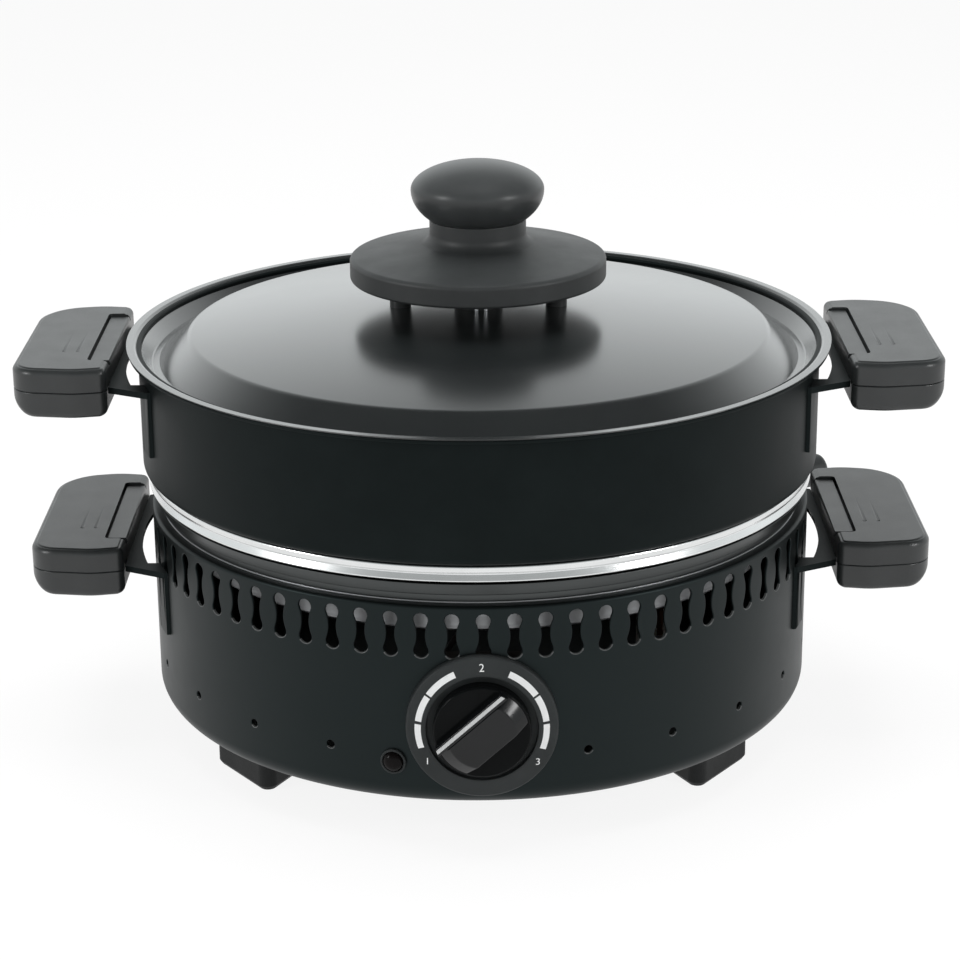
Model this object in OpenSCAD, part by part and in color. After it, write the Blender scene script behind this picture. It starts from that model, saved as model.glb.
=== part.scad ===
// Electric chestnut roaster: a heated base, a lift-out pan and a lift-off lid, with grips at both sides.
// The axis of the pan is the Z axis, the front with the dial faces -Y, and the feet stand on Z = 0.

/* [Feet] */
// Height of a foot, from the table to the underside of the base
foot_h = 18.5; // [10:0.5:30]
// Angle of a foot from the front-rear axis
foot_angle = 53.5; // [35:0.5:60]
// Distance of the outer face of a foot in from the wall of the base
foot_inset = 15.6; // [12:0.1:40]
// Width of a foot at its outer face
foot_w = 42; // [30:1:60]
// Width of a foot at its inner end
foot_inner_w = 24; // [20:1:40]
// Length of a foot along the radius
foot_l = 30; // [24:1:45]
// Corner radius of a foot
foot_round = 5; // [3:0.5:8]

/* [Base housing] */
// Outer radius of the base wall
base_r = 151.6; // [140:0.1:170]
// Height of the base housing
base_h = 91.1; // [80:0.1:120]
// Radius of the lower edge of the base
base_corner = 9; // [4:0.5:12]
// Sheet thickness of the base
base_t = 1.2; // [0.8:0.1:2]
// Width of the flange that turns in at the top of the base
base_flange_w = 11.6; // [10:0.1:16]
// Radius of the bead at the top edge of the base
base_bead = 2; // [1:0.1:3]

/* [Vents] */
// Number of waisted slots round the base
slot_n = 73; // [24:1:90]
// Length of a slot
slot_l = 19.9; // [12:0.1:24]
// Width of a slot at its round ends
slot_w = 6.2; // [4:0.1:8]
// Width of a slot at its waist
slot_waist = 3.4; // [2:0.1:6]
// Drop of the middle of the slots below the top of the base
slot_drop = 13.2; // [12:0.1:20]
// Angle of the first slot from the front
slot_angle = 0.3; // [-5:0.1:5]
// Diameter of a small drain hole
hole_d = 3.6; // [2:0.1:6]
// Height of the drain holes above the underside of the base
hole_up = 23.5; // [14:0.5:40]
// Number of drain holes on each side
hole_n = 8; // [2:1:9]
// Angle between drain holes
hole_pitch = 15.4; // [12:0.1:18]
// Angle of the first drain hole left of the front
hole_left = 25.2; // [22:0.1:35]
// Angle of the first drain hole right of the front
hole_right = 17.2; // [16:0.1:35]

/* [Rim ring] */
// Distance that the bright band of the ring stands out from the wall of the base
ring_over = 1; // [0.4:0.1:3]
// Height of the ring
ring_h = 18; // [14:0.1:30]
// Height of the bright band
ring_band_h = 9; // [6:0.1:12]
// Step from the band to the slope under it
ring_step = 1.2; // [0.6:0.1:2]
// Depth of the groove under the slope, in from the base wall
ring_groove = 3; // [2:0.1:5]
// Height of the groove
ring_groove_h = 2.2; // [1.5:0.1:4]
// Sheet thickness of the ring
ring_t = 1.2; // [0.8:0.1:2]
// Number of screws that hold the ring and the dish to the base
ring_screw_n = 4; // [3:1:8]

/* [Reflector dish and heating element] */
// Depth of the reflector dish
dish_depth = 16.4; // [14:0.1:20]
// Sheet thickness of the dish
dish_t = 0.8; // [0.5:0.1:1.5]
// Gap between the dish and the flange of the base
dish_gap = 0.5; // [0.3:0.1:1]
// Corner radius of the dish
dish_corner = 6; // [3:0.5:10]
// Diameter of the heating tube
tube_d = 6.5; // [5:0.1:8]
// Radius of the outer turn of the heating tube
turn_outer_r = 110; // [90:1:120]
// Radius of the inner turn of the heating tube
turn_inner_r = 70; // [50:1:80]
// Height of the heating tube above the dish
tube_lift = 11.2; // [8:0.1:14]
// Angle of the ends of the heating tube from the right side
turn_start = 20; // [16:1:30]
// Length of the cold ends of the heating tube under the dish
cold_end_l = 12; // [9:0.5:16]
// Thickness of a support clip
clip_t = 3; // [2:0.1:5]

/* [Pan] */
// Distance that the wall of the pan stands out from the band of the ring
pan_over = 2.2; // [0.5:0.1:5]
// Height of the pan above the ring
pan_h = 55.7; // [45:0.1:80]
// Wall thickness of the pan
pan_t = 1.6; // [1:0.1:2.5]
// Width of the pan flange, out from the wall of the pan
pan_flange_w = 4.6; // [2.5:0.1:8]
// Thickness of the pan flange
pan_flange_t = 1.4; // [1:0.1:2.5]
// Depth that the pan sinks into the ring
pan_nest = 8; // [5:0.5:9]
// Width of the seat of the pan on the ring
pan_seat_w = 5.6; // [4:0.1:8]
// Gap round the sunk part of the pan
pan_fit = 0.8; // [0.4:0.1:1.5]

/* [Lid] */
// Distance that the rim of the lid stands out from the pan flange
lid_over = 0.6; // [0.2:0.1:2]
// Sheet thickness of the lid
lid_t = 1; // [0.8:0.1:1.3]
// Gap between the pan wall and the neck of the lid
lid_fit = 0.5; // [0.4:0.1:1.5]
// Depth of the gutter below the rim
gutter_depth = 9.1; // [5:0.1:14]
// Width of the slope from the rim to the gutter
gutter_slope_w = 4.1; // [3:0.1:6]
// Width of the floor of the gutter
gutter_w = 3.5; // [2:0.1:6]
// Width of the slope from the gutter to the raised middle of the lid
plateau_slope_w = 13.6; // [9:0.1:35]
// Height of the edge of the raised middle above the rim
plateau_rise = 2.7; // [0:0.1:8]
// Further rise of the middle to its centre
dome_rise = 5; // [0:0.1:8]

/* [Heat guard and lid knob] */
// Radius of the guard disc
guard_r = 58; // [48:0.5:70]
// Thickness of the edge of the guard disc
guard_t = 10; // [6:0.1:14]
// Gap between the lid and the guard disc
guard_gap = 17.7; // [12:0.1:30]
// Rise of the guard from its edge to the neck
guard_cone = 6.8; // [2:0.1:12]
// Radius of the neck
neck_r = 21.8; // [16:0.1:26]
// Height of the neck
neck_h = 10.2; // [6:0.1:16]
// Radius of the middle boss under the guard
hub_r = 11; // [9:0.1:16]
// Diameter of a side leg under the guard
leg_d = 9.6; // [6:0.1:12]
// Distance of a side leg from the axis
leg_x = 35.5; // [28:0.5:45]
// Largest radius of the knob
bulb_r = 30; // [27:0.1:36]
// Height of the knob
bulb_h = 25.8; // [22:0.1:36]
// Height of the widest place of the knob above the neck
bulb_low = 13.3; // [8:0.1:16]
// Diameter of the bolt that holds the knob
bolt_d = 6; // [5:0.1:8]

/* [Handles] */
// Width of a grip, outwards
grip_w = 42.5; // [36:0.5:55]
// Length of a grip
grip_l = 110; // [104:1:130]
// Bow of the ends of a grip, seen from above
grip_bow = 2.7; // [0:0.1:4]
// Thickness of a grip
grip_t = 21.5; // [18:0.5:28]
// Gap between the wall and a grip
grip_gap = 9.2; // [8.5:0.1:20]
// Drop of the top of the pan grips below the rim of the lid
pan_grip_drop = 1.4; // [0:0.1:12]
// Drop of the top of the base grips below the top of the base
base_grip_drop = 10.1; // [6:0.1:20]
// Radius of the outer corners of a grip, seen from above
grip_corner = 22; // [8:0.5:24]
// Radius of the lower outer edge of a grip
grip_belly = 9.5; // [4:0.5:10]
// Width of the thumb recess along the inner edge
thumb_w = 9.5; // [6:0.1:12]
// Length of the thumb recess
thumb_l = 72; // [50:1:80]
// Depth of the thumb recess
thumb_depth = 1.8; // [1:0.1:3]
// Sheet thickness of a bracket
bracket_t = 2; // [1.5:0.1:4]
// Gap between the wall and the inner edge of a bracket
bracket_cut = 5.6; // [3:0.1:7]
// Distance of the inner edge of a wall tab from the middle of the handle
tab_in = 46; // [44:0.5:50]
// Width of a wall tab
tab_w = 11.5; // [8:0.5:16]
// Height of a wall tab
tab_h = 30; // [15:0.5:34]
// Thickness of a wall tab
tab_t = 1.5; // [1:0.1:3]
// Depth of the lip along the outer edge of a bracket's arm
lip_h = 2.8; // [2.5:0.1:10]

/* [Dial] */
// Height of the dial above the underside of the base
dial_up = 38.5; // [36:0.5:45]
// Outer radius of the bezel
bezel_r = 32; // [28:0.5:34]
// Distance that the bezel stands out of the wall
bezel_stand = 4.8; // [4:0.1:7]
// Radius of the recess for the knob
recess_r = 23.5; // [22:0.1:26]
// Depth of the recess
recess_depth = 2.8; // [2:0.1:3.2]
// Radius of the knob
dial_r = 20.5; // [19:0.1:21.5]
// Distance from the wall to the front of the knob's disc
dial_stand = 8.8; // [7.5:0.1:10]
// Distance from the wall to the front of the knob's bar
bar_stand = 13.4; // [12:0.1:20]
// Width of the bar
bar_w = 20; // [12:0.5:22]
// Angle of the pointer at rest, counter-clockwise from the right
pointer_angle = 222; // [180:1:260]
// Width of the pointer line
pointer_w = 2.4; // [1:0.1:3]
// Diameter of the thermostat's shaft
shaft_d = 6; // [5:0.1:7]

/* [Indicator] */
// Angle of the indicator from the front
lamp_angle = -14.3; // [-30:0.1:-14]
// Height of the indicator above the underside of the base
lamp_up = 20; // [16:0.5:30]
// Diameter of the collar of the indicator
lamp_d = 11.2; // [9:0.1:14]

/* [Cord gland] */
// Angle of the gland from the front
gland_angle = 116; // [116:0.5:150]
// Height of the gland above the underside of the base
gland_up = 69.5; // [40:0.5:72]
// Distance that the gland stands out of the wall
gland_out = 38; // [15:0.5:45]
// Diameter of the gland's sleeve
gland_d = 16; // [13:0.1:16.5]
// Diameter of the cord's bore
cord_bore_d = 8.4; // [6:0.1:9]

/* [Hidden] */
$fn = 96;
wall_fn = 360;
eps = 0.01;
// Named clearances
press_gap = 0.03;
run_gap = 0.05;
weld_gap = 0.05;
screw_gap = 0.2;
turn_gap = 0.3;
// Screws
screw_r = 1.95;
head_r = 3.4;
head_h = 2;
nut_r = 4;
nut_h = 3.2;
// Heights of the base
base_z0 = foot_h;
base_z1 = base_z0 + base_h;
base_in_r = base_r - base_t;
base_flange_r = base_r - base_flange_w;
slot_z = base_z1 - slot_drop;
hole_z = base_z0 + hole_up;
// Dish and element
dish_r = base_flange_r - dish_gap;
dish_z1 = base_z1 + dish_t;
dish_z0 = dish_z1 - dish_depth;
dish_floor = dish_z0 + dish_t;
tube_r = tube_d / 2;
tube_z = dish_floor + tube_lift;
cold_z = dish_z0 - cold_end_l;
bushing_r = tube_r + 1.8;
// Ring
ring_z0 = dish_z1;
ring_z1 = ring_z0 + ring_h;
ring_band_z = ring_z1 - ring_band_h;
ring_r = base_r + ring_over;
ring_foot_r = base_r - ring_groove;
ring_screw_r = (base_flange_r + ring_foot_r - ring_t) / 2;
// Pan
pan_r = ring_r + pan_over;
pan_flange_r = pan_r + pan_flange_w;
pan_seat_r = ring_r - pan_seat_w;
pan_nest_r = pan_seat_r - pan_fit;
pan_in_r = pan_r - pan_t;
pan_z0 = ring_z1 - pan_nest;
pan_z1 = ring_z1 + pan_h;
// Lid
lid_r = pan_flange_r + lid_over;
lid_z1 = pan_z1 + lid_t;
lid_neck_r = pan_in_r - lid_fit;
gutter_out_r = lid_neck_r - gutter_slope_w;
gutter_in_r = gutter_out_r - gutter_w;
gutter_z = lid_z1 - gutter_depth;
plateau_r = gutter_in_r - plateau_slope_w;
plateau_z = lid_z1 + plateau_rise;
lid_top = plateau_z + dome_rise;
dome_steps = 12;
lid_seat_r = hub_r + 3;
// Guard, knob and bolt
bolt_r = bolt_d / 2;
bolt_hole_r = bolt_r + screw_gap;
guard_z0 = lid_top + guard_gap;
guard_z1 = guard_z0 + guard_t;
neck_z0 = guard_z1 + guard_cone;
neck_z1 = neck_z0 + neck_h;
bulb_mid_z = neck_z1 + bulb_low;
bulb_top_z = neck_z1 + bulb_h;
bulb_steps = 14;
insert_r = bolt_r + 2.2;
insert_l = 14;
washer_r = 9;
washer_t = 1.2;
bolt_head_r = 5;
bolt_head_h = 4;
// Handles
sides = ["left", "right"];
pan_grip_x = pan_r + grip_gap;
base_grip_x = base_r + grip_gap;
pan_grip_z = lid_z1 - pan_grip_drop;
base_grip_z = base_z1 - base_grip_drop;
tongue_y = 40;
tongue_l = 30;
arm_y = 48;
grip_screw_x = 15;
grip_screw_y = 24;
grip_bore_depth = 5;
rib_w = 1.2;
rib_l = 54;
rib_depth = 0.6;
rib_x = [16.2, 22];
// Dial: distances from the axis of the part to the faces of the dial's pieces
dial_z = base_z0 + dial_up;
bezel_d = base_r + bezel_stand;
recess_d = bezel_d - recess_depth;
dial_back_d = recess_d + turn_gap;
dial_front_d = base_r + dial_stand;
bar_d = base_r + bar_stand;
dial_wall = 2.2;
dial_web = 2.9;
dial_hub_r = 6.2;
bar_r = dial_r - 0.6;
pointer_depth = 0.8;
pointer_y = bar_w / 2 - 0.4 - pointer_w / 2;
shaft_r = shaft_d / 2;
shaft_d1 = bar_d - 4.2;
bush_r = shaft_r + 1.8;
bush_d1 = recess_d - 0.6;
dial_screw_x = 14;
plate_t = 1.5;
plate_d0 = base_in_r - 3.9;
plate_d1 = plate_d0 + plate_t;
stat_w = 34;
stat_h = 40;
stat_depth = 26;
stat_d0 = plate_d0 - stat_depth;
stat_pin_x = 8;
shaft_d0 = stat_d0 + 10;
// Indicator
lamp_z = base_z0 + lamp_up;
lens_r = lamp_d / 2 - 1.2;
lens_stem_r = lens_r - 0.6;
neon_r = lens_stem_r - 1.2;
lamp_d0 = base_in_r - 9;
lamp_nut_r = lens_stem_r + 3;
lamp_nut_h = 4;
neon_l = 18;
// Cord gland
gland_z = base_z0 + gland_up;
gland_r = gland_d / 2;
gland_stem_r = gland_r - 1.5;
gland_flange_r = gland_r + 1;
gland_flange_t = 3;
gland_d0 = base_in_r - 9;
gland_d1 = base_r + gland_out;
gland_nut_h = 4;
cord_bore_r = cord_bore_d / 2;
slot_keep_off = (gland_flange_r + slot_w) / base_r * 180 / PI;
// Terminal block and wires
floor_z = base_z0 + base_t;
base_seam_z = base_z0 + base_corner + 1;
block_x = 84;
block_w = 18;
block_l = 46;
block_h = 18;
block_top = floor_z + block_h;
block_screw_y = 18;
block_screw_r = 1.6;
wire_r = 1.4;
wire_bend_r = 6;
wire_drop = 26;
wire_detour = 24;
lamp_wire_rise = 14;
lamp_wire_run = 20;
bend_grow = 0.08;
// Foot screws
foot_reach = base_r - foot_inset;
foot_screw_r = foot_reach - foot_l / 2;
foot_bore_depth = 8;
foot_edge = 2;

paint = [0.17, 0.18, 0.18];
moulding = [0.23, 0.23, 0.24];
black = [0.07, 0.07, 0.08];
steel = [0.78, 0.79, 0.8];
bright = [0.86, 0.87, 0.88];
zinc = [0.62, 0.63, 0.66];
white = [0.95, 0.95, 0.95];

// Outlines
function unit(v) = v / norm(v);
function flip(p) = [for (i = [len(p) - 1:-1:0]) p[i]];
function turned(a) = (a + 540) % 360 - 180;
// Points of the arc of radius r that rounds the corner b between a and c
function corner(a, b, c, r, n) =
    let (
        u = unit(a - b),
        w = unit(c - b),
        half = acos(u * w) / 2,
        centre = b + unit(u + w) * r / sin(half),
        s = b + u * r / tan(half) - centre,
        e = b + w * r / tan(half) - centre,
        a0 = atan2(s[1], s[0]),
        da = turned(atan2(e[1], e[0]) - a0)
    )
    [for (i = [0:n]) centre + r * [cos(a0 + da * i / n), sin(a0 + da * i / n)]];
// A closed outline from corners [x, y, rounding radius]
function rounded(p, n = 6) =
    let (m = len(p), q = [for (v = p) [v[0], v[1]]])
    [for (i = [0:m - 1])
        each p[i][2] == 0 ? [q[i]] : corner(q[(i + m - 1) % m], q[i], q[(i + 1) % m], p[i][2], n)];

// A solid of revolution about the Z axis
module revolve(p, n = 6) {
    rotate_extrude() polygon(rounded(p, n));
}

// A place on the wall of the base: local Z points out from the axis, local Y points up
module at_wall(angle, z) {
    rotate([0, 0, angle]) translate([0, 0, z]) rotate([90, 0, 0]) children();
}

// A core of the base with the given radius, up to the top of the base
module wall_core(r) {
    cylinder(r = r, h = base_z1, $fn = wall_fn);
}

// A straight rod from p to q
module rod(p, q, r) {
    v = q - p;
    translate(p) rotate([0, acos(v[2] / norm(v)), atan2(v[1], v[0])]) cylinder(r = r, h = norm(v));
}

// A point on the 0.1 mm grid
function snap(p) = [for (v = p) round(v * 10) / 10];

// The right-angled bend of a wire at b, on the way from a to c
module bend(a, b, c) {
    u = unit(b - a);
    side = unit(c - b);
    axis = cross(u, side);
    m = b + (side - u) * wire_bend_r;
    multmatrix([
        [-side[0], u[0], axis[0], m[0]], [-side[1], u[1], axis[1], m[1]], [-side[2], u[2], axis[2], m[2]],
        [0, 0, 0, 1]
    ])
        rotate_extrude(angle = 90) translate([wire_bend_r, 0]) circle(r = wire_r);
}

// An end of a wire, brought in line with its nearest corner
function in_line(end, corner) = [for (k = [0:2]) abs(end[k] - corner[k]) < 1 ? corner[k] : end[k]];

// A wire from one end through its corners to the other end, with runs along the axes and round bends
module wire(from, corners, to) {
    q = [for (c = corners) snap(c)];
    p = [in_line(from, q[0]), each q, in_line(to, q[len(q) - 1])];
    last = len(p) - 1;
    rod(p[1] + unit(p[0] - p[1]) * wire_bend_r, p[0], wire_r);
    for (i = [1:last - 1])
        bend(p[i - 1], p[i], p[i + 1]);
    for (i = [2:last - 1]) {
        u = unit(p[i] - p[i - 1]) * wire_bend_r;
        rod(p[i - 1] + u, p[i] - u, wire_r);
    }
    rod(p[last - 1] + unit(p[last] - p[last - 1]) * wire_bend_r, p[last], wire_r);
}

// A screw along local Z, with its head above z = 0
module screw(l, r, hr, hh) {
    translate([0, 0, -l]) cylinder(r = r, h = l + eps);
    cylinder(r = hr, h = hh);
}

// Places of the screws that hold the ring
module at_ring_screws() {
    for (i = [0:ring_screw_n - 1])
        rotate([0, 0, 45 + 360 / ring_screw_n * i]) translate([ring_screw_r, 0, 0]) children();
}

// Direction of a foot, with local X pointing outwards
module at_foot(i) {
    a = [foot_angle - 90, 90 - foot_angle, 90 + foot_angle, 270 - foot_angle];
    rotate([0, 0, a[i]]) children();
}

// The right or the left side of the part
module at_side(s) {
    if (s == 0)
        mirror([1, 0, 0]) children();
    else
        children();
}

// Base housing
module slot_shape() {
    end_y = (slot_l - slot_w) / 2;
    translate([0, end_y]) circle(d = slot_w);
    translate([0, -end_y]) circle(d = slot_w);
    square([slot_waist, 2 * end_y], center = true);
}

module vent_slots() {
    for (i = [0:slot_n - 1])
        if (abs(turned(slot_angle + i * 360 / slot_n - gland_angle)) > slot_keep_off)
            at_wall(slot_angle + i * 360 / slot_n, slot_z)
                translate([0, 0, base_in_r - 1]) linear_extrude(base_t + 2) slot_shape();
}

module drain_holes() {
    for (i = [0:hole_n - 1])
        for (a = [-hole_left - i * hole_pitch, hole_right + i * hole_pitch])
            at_wall(a, hole_z) translate([0, 0, base_in_r - 1]) cylinder(d = hole_d, h = base_t + 2);
}

module wall_bores() {
    bore_z = base_in_r - 3;
    bore_l = base_t + 5;
    at_wall(0, dial_z) {
        translate([0, 0, bore_z]) cylinder(r = bush_r + screw_gap, h = bore_l);
        for (x = [-dial_screw_x, dial_screw_x])
            translate([x, 0, bore_z]) cylinder(r = screw_r + screw_gap, h = bore_l);
    }
    at_wall(lamp_angle, lamp_z) translate([0, 0, bore_z]) cylinder(r = lens_stem_r + run_gap, h = bore_l);
    at_wall(gland_angle, gland_z) translate([0, 0, bore_z]) cylinder(r = gland_stem_r + run_gap, h = bore_l);
}

module floor_bores() {
    for (i = [0:3])
        at_foot(i) translate([foot_screw_r, 0, base_z0 - 1])
            cylinder(r = screw_r + screw_gap, h = base_t + 2);
    for (y = [-block_screw_y, block_screw_y])
        translate([block_x, y, base_z0 - 1]) cylinder(r = block_screw_r + screw_gap, h = base_t + 2);
}

// The drawn sheet of the base, as a wall with a flange and a floor with a rounded edge
module base_housing() {
    in_bead = max(base_bead - base_t, 0.2);
    color(paint) difference() {
        revolve([
            [base_r, base_seam_z, 0], [base_r, base_z1, base_bead],
            [base_flange_r, base_z1, 0], [base_flange_r, base_z1 - base_t, 0],
            [base_in_r, base_z1 - base_t, in_bead], [base_in_r, base_seam_z, 0]
        ]);
        vent_slots();
        drain_holes();
        wall_bores();
        at_ring_screws() translate([0, 0, base_z1 - base_t - 1])
            cylinder(r = screw_r + screw_gap, h = base_t + 2);
    }
}

module base_floor() {
    in_corner = max(base_corner - base_t, 0.2);
    color(paint) difference() {
        revolve([
            [0, base_z0, 0], [base_r, base_z0, base_corner], [base_r, base_seam_z, 0],
            [base_in_r, base_seam_z, 0], [base_in_r, floor_z, in_corner], [0, floor_z, 0]
        ]);
        floor_bores();
    }
}

// Rim ring: a rolled sheet with a bright band, a slope under it and a flange inside
module rim_ring() {
    slope_r = ring_r - ring_step;
    color(bright) difference() {
        revolve([
            [base_flange_r, ring_z0, 0], [ring_foot_r, ring_z0, 0.4],
            [ring_foot_r, ring_z0 + ring_groove_h, 0],
            [slope_r, ring_band_z, 0.3], [ring_r, ring_band_z + ring_step, 0.5], [ring_r, ring_z1, 0.7],
            [pan_seat_r, ring_z1, 0.3], [pan_seat_r, ring_z1 - ring_t, 0],
            [ring_r - ring_t, ring_z1 - ring_t, 0.2], [ring_r - ring_t, ring_band_z + 1.4 * ring_step, 0.2],
            [slope_r - ring_t, ring_band_z + 0.3, 0.2],
            [ring_foot_r - ring_t, ring_z0 + ring_groove_h + 0.3, 0],
            [ring_foot_r - ring_t, ring_z0 + ring_t, 0.2], [base_flange_r, ring_z0 + ring_t, 0]
        ], 3);
        at_ring_screws() translate([0, 0, ring_z0 - 1]) cylinder(r = screw_r + screw_gap, h = ring_t + 2);
    }
}

module ring_screws() {
    color(zinc) at_ring_screws() translate([0, 0, ring_z0 + ring_t]) screw(8, screw_r, head_r - 0.2, head_h);
}

// Reflector dish and heating element
module at_cold_ends() {
    for (r = [turn_outer_r, turn_inner_r])
        rotate([0, 0, turn_start]) translate([r, 0, 0]) children();
}

module reflector_dish() {
    color(steel) difference() {
        revolve([
            [0, dish_z0, 0], [dish_r, dish_z0, dish_corner], [dish_r, base_z1, 0.4],
            [ring_foot_r - ring_t, base_z1, 0], [ring_foot_r - ring_t, dish_z1, 0],
            [dish_r - dish_t, dish_z1, 0.4], [dish_r - dish_t, dish_floor, dish_corner - dish_t],
            [0, dish_floor, 0]
        ]);
        at_ring_screws() translate([0, 0, base_z1 - 1]) cylinder(r = screw_r + screw_gap, h = dish_t + 2);
        at_cold_ends() translate([0, 0, dish_z0 - 1]) cylinder(r = bushing_r + run_gap, h = dish_t + 2);
    }
}

// The two turns of the heating tube, at the given tube radius
module tube_turns(r) {
    mid_r = (turn_outer_r + turn_inner_r) / 2;
    bend_r = (turn_outer_r - turn_inner_r) / 2;
    translate([0, 0, tube_z]) {
        for (turn_r = [turn_outer_r, turn_inner_r])
            rotate([0, 0, turn_start])
                rotate_extrude(angle = 360 - 2 * turn_start) translate([turn_r, 0]) circle(r = r);
        rotate([0, 0, -turn_start]) translate([mid_r, 0, 0])
            rotate_extrude(angle = 180) translate([bend_r, 0]) circle(r = r);
        for (turn_r = [turn_outer_r, turn_inner_r])
            rotate([0, 0, -turn_start]) translate([turn_r, 0, 0]) sphere(r = r + bend_grow);
    }
}

module heating_element() {
    color([0.35, 0.36, 0.36]) {
        tube_turns(tube_r);
        at_cold_ends() {
            translate([0, 0, tube_z]) sphere(r = tube_r + bend_grow);
            translate([0, 0, cold_z]) cylinder(r = tube_r, h = tube_z - cold_z);
        }
    }
}

module element_bushings() {
    flange_t = 2;
    below = 5;
    color(white) at_cold_ends() difference() {
        union() {
            translate([0, 0, dish_floor]) cylinder(r = bushing_r + 2.5, h = flange_t);
            translate([0, 0, dish_z0 - below]) cylinder(r = bushing_r, h = below + dish_t + eps);
        }
        translate([0, 0, dish_z0 - below - 1])
            cylinder(r = tube_r + run_gap, h = below + dish_t + flange_t + 2);
    }
}

// One of the clips that carry the heating tube on the dish
module element_clip(i) {
    reach = 9;
    foot_w = 10;
    foot_t = 1.2;
    x0 = turn_inner_r - reach;
    l = turn_outer_r - turn_inner_r + 2 * reach;
    color(zinc) difference() {
        rotate([0, 0, 100 + 80 * i]) translate([x0, 0, dish_floor]) {
            translate([0, -clip_t / 2, 0]) cube([l, clip_t, tube_lift]);
            translate([0, -foot_w / 2, 0]) cube([l, foot_w, foot_t]);
        }
        tube_turns(tube_r + 0.1);
    }
}

// Dial, thermostat and indicator
module dial_bezel() {
    color(moulding) difference() {
        at_wall(0, dial_z) difference() {
            revolve([
                [bush_r + screw_gap, base_r - 14, 0], [bezel_r, base_r - 14, 0], [bezel_r, bezel_d, 2.5],
                [recess_r, bezel_d, 0.6], [recess_r, recess_d, 0.4], [bush_r + screw_gap, recess_d, 0]
            ]);
            for (x = [-dial_screw_x, dial_screw_x])
                translate([x, 0, base_r - 15]) cylinder(r = screw_r + screw_gap, h = bezel_stand + 16);
        }
        wall_core(base_r + weld_gap);
    }
}

module dial_screws() {
    color(zinc) at_wall(0, dial_z)
        for (x = [-dial_screw_x, dial_screw_x])
            translate([x, 0, recess_d]) screw(recess_d - plate_d0 - 0.1, screw_r, head_r, head_h - 0.2);
}

// Plate that carries the thermostat behind the wall, with two collars that reach the wall
module thermostat_plate() {
    collar_r = 4.6;
    w = 2 * (dial_screw_x + collar_r + 1.4);
    h = 30;
    color(zinc) difference() {
        union() {
            at_wall(0, dial_z) translate([0, 0, plate_d0 + plate_t / 2]) cube([w, h, plate_t], center = true);
            intersection() {
                at_wall(0, dial_z)
                    for (x = [-dial_screw_x, dial_screw_x])
                        translate([x, 0, plate_d0 + plate_t - eps]) cylinder(r = collar_r, h = 8);
                wall_core(base_in_r - weld_gap);
            }
        }
        at_wall(0, dial_z) translate([0, 0, plate_d0 - 1]) {
            cylinder(r = bush_r + run_gap, h = 12);
            for (x = [-dial_screw_x, dial_screw_x])
                translate([x, 0, 0]) cylinder(r = screw_r + run_gap, h = 12);
        }
    }
}

module thermostat_body() {
    color([0.85, 0.83, 0.76]) at_wall(0, dial_z) difference() {
        union() {
            translate([0, 0, stat_d0 + stat_depth / 2]) cube([stat_w, stat_h, stat_depth], center = true);
            translate([0, 0, plate_d0 - eps]) cylinder(r = bush_r, h = bush_d1 - plate_d0 + eps);
        }
        translate([0, 0, shaft_d0]) cylinder(r = shaft_r + run_gap, h = bush_d1 - shaft_d0 + 1);
    }
}

module thermostat_shaft() {
    color(steel) at_wall(0, dial_z)
        translate([0, 0, shaft_d0 + turn_gap]) cylinder(r = shaft_r, h = shaft_d1 - shaft_d0 - turn_gap);
}

// The raised bar across the dial knob
module dial_bar(r, w, d0, d1) {
    intersection() {
        translate([0, 0, d0]) cylinder(r = r, h = d1 - d0);
        translate([0, 0, (d0 + d1) / 2]) cube([4 * r, w, 2 * (d1 - d0)], center = true);
    }
}

module pointer_solid(grow) {
    intersection() {
        translate([-2 * bar_r, -pointer_y - pointer_w / 2 - grow, bar_d - pointer_depth - grow])
            cube([4 * bar_r, pointer_w + 2 * grow, pointer_depth + grow]);
        translate([0, 0, bar_d - 5]) cylinder(r = bar_r - 1 + grow, h = 10);
    }
}

module dial_knob() {
    inner_r = dial_r - dial_wall;
    web_d = dial_front_d - dial_web;
    color(black) at_wall(0, dial_z) rotate([0, 0, pointer_angle]) difference() {
        union() {
            revolve([
                [dial_hub_r, dial_back_d, 0], [dial_hub_r, web_d, 0], [inner_r, web_d, 0.6],
                [inner_r, dial_back_d, 0], [dial_r, dial_back_d, 0.4], [dial_r, dial_front_d, 1.2],
                [0, dial_front_d, 0], [0, dial_back_d, 0]
            ]);
            dial_bar(bar_r, bar_w, web_d, bar_d);
        }
        translate([0, 0, dial_back_d - 1])
            cylinder(r = shaft_r + press_gap, h = shaft_d1 - dial_back_d + 1.2);
        pointer_solid(press_gap);
        translate([0, 0, bar_d]) cylinder(r = dial_r, h = 5);
    }
}

module dial_pointer() {
    color(white) at_wall(0, dial_z) rotate([0, 0, pointer_angle]) pointer_solid(0);
}

module indicator_lens() {
    collar = 1.4;
    dome = 2.4;
    color([0.2, 0.05, 0.04]) difference() {
        union() {
            difference() {
                at_wall(lamp_angle, lamp_z) {
                    translate([0, 0, base_r - 3]) cylinder(r = lamp_d / 2, h = collar + 3);
                    translate([0, 0, base_r + collar - eps]) rotate_extrude()
                        polygon([for (i = [0:6]) [lens_r * cos(15 * i), dome * sin(15 * i)], [0, 0]]);
                }
                wall_core(base_r + weld_gap);
            }
            at_wall(lamp_angle, lamp_z) translate([0, 0, lamp_d0])
                cylinder(r = lens_stem_r, h = base_r - lamp_d0 + 0.5);
        }
        at_wall(lamp_angle, lamp_z) translate([0, 0, lamp_d0 - 1])
            cylinder(r = neon_r + run_gap, h = base_r - lamp_d0);
    }
}

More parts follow.
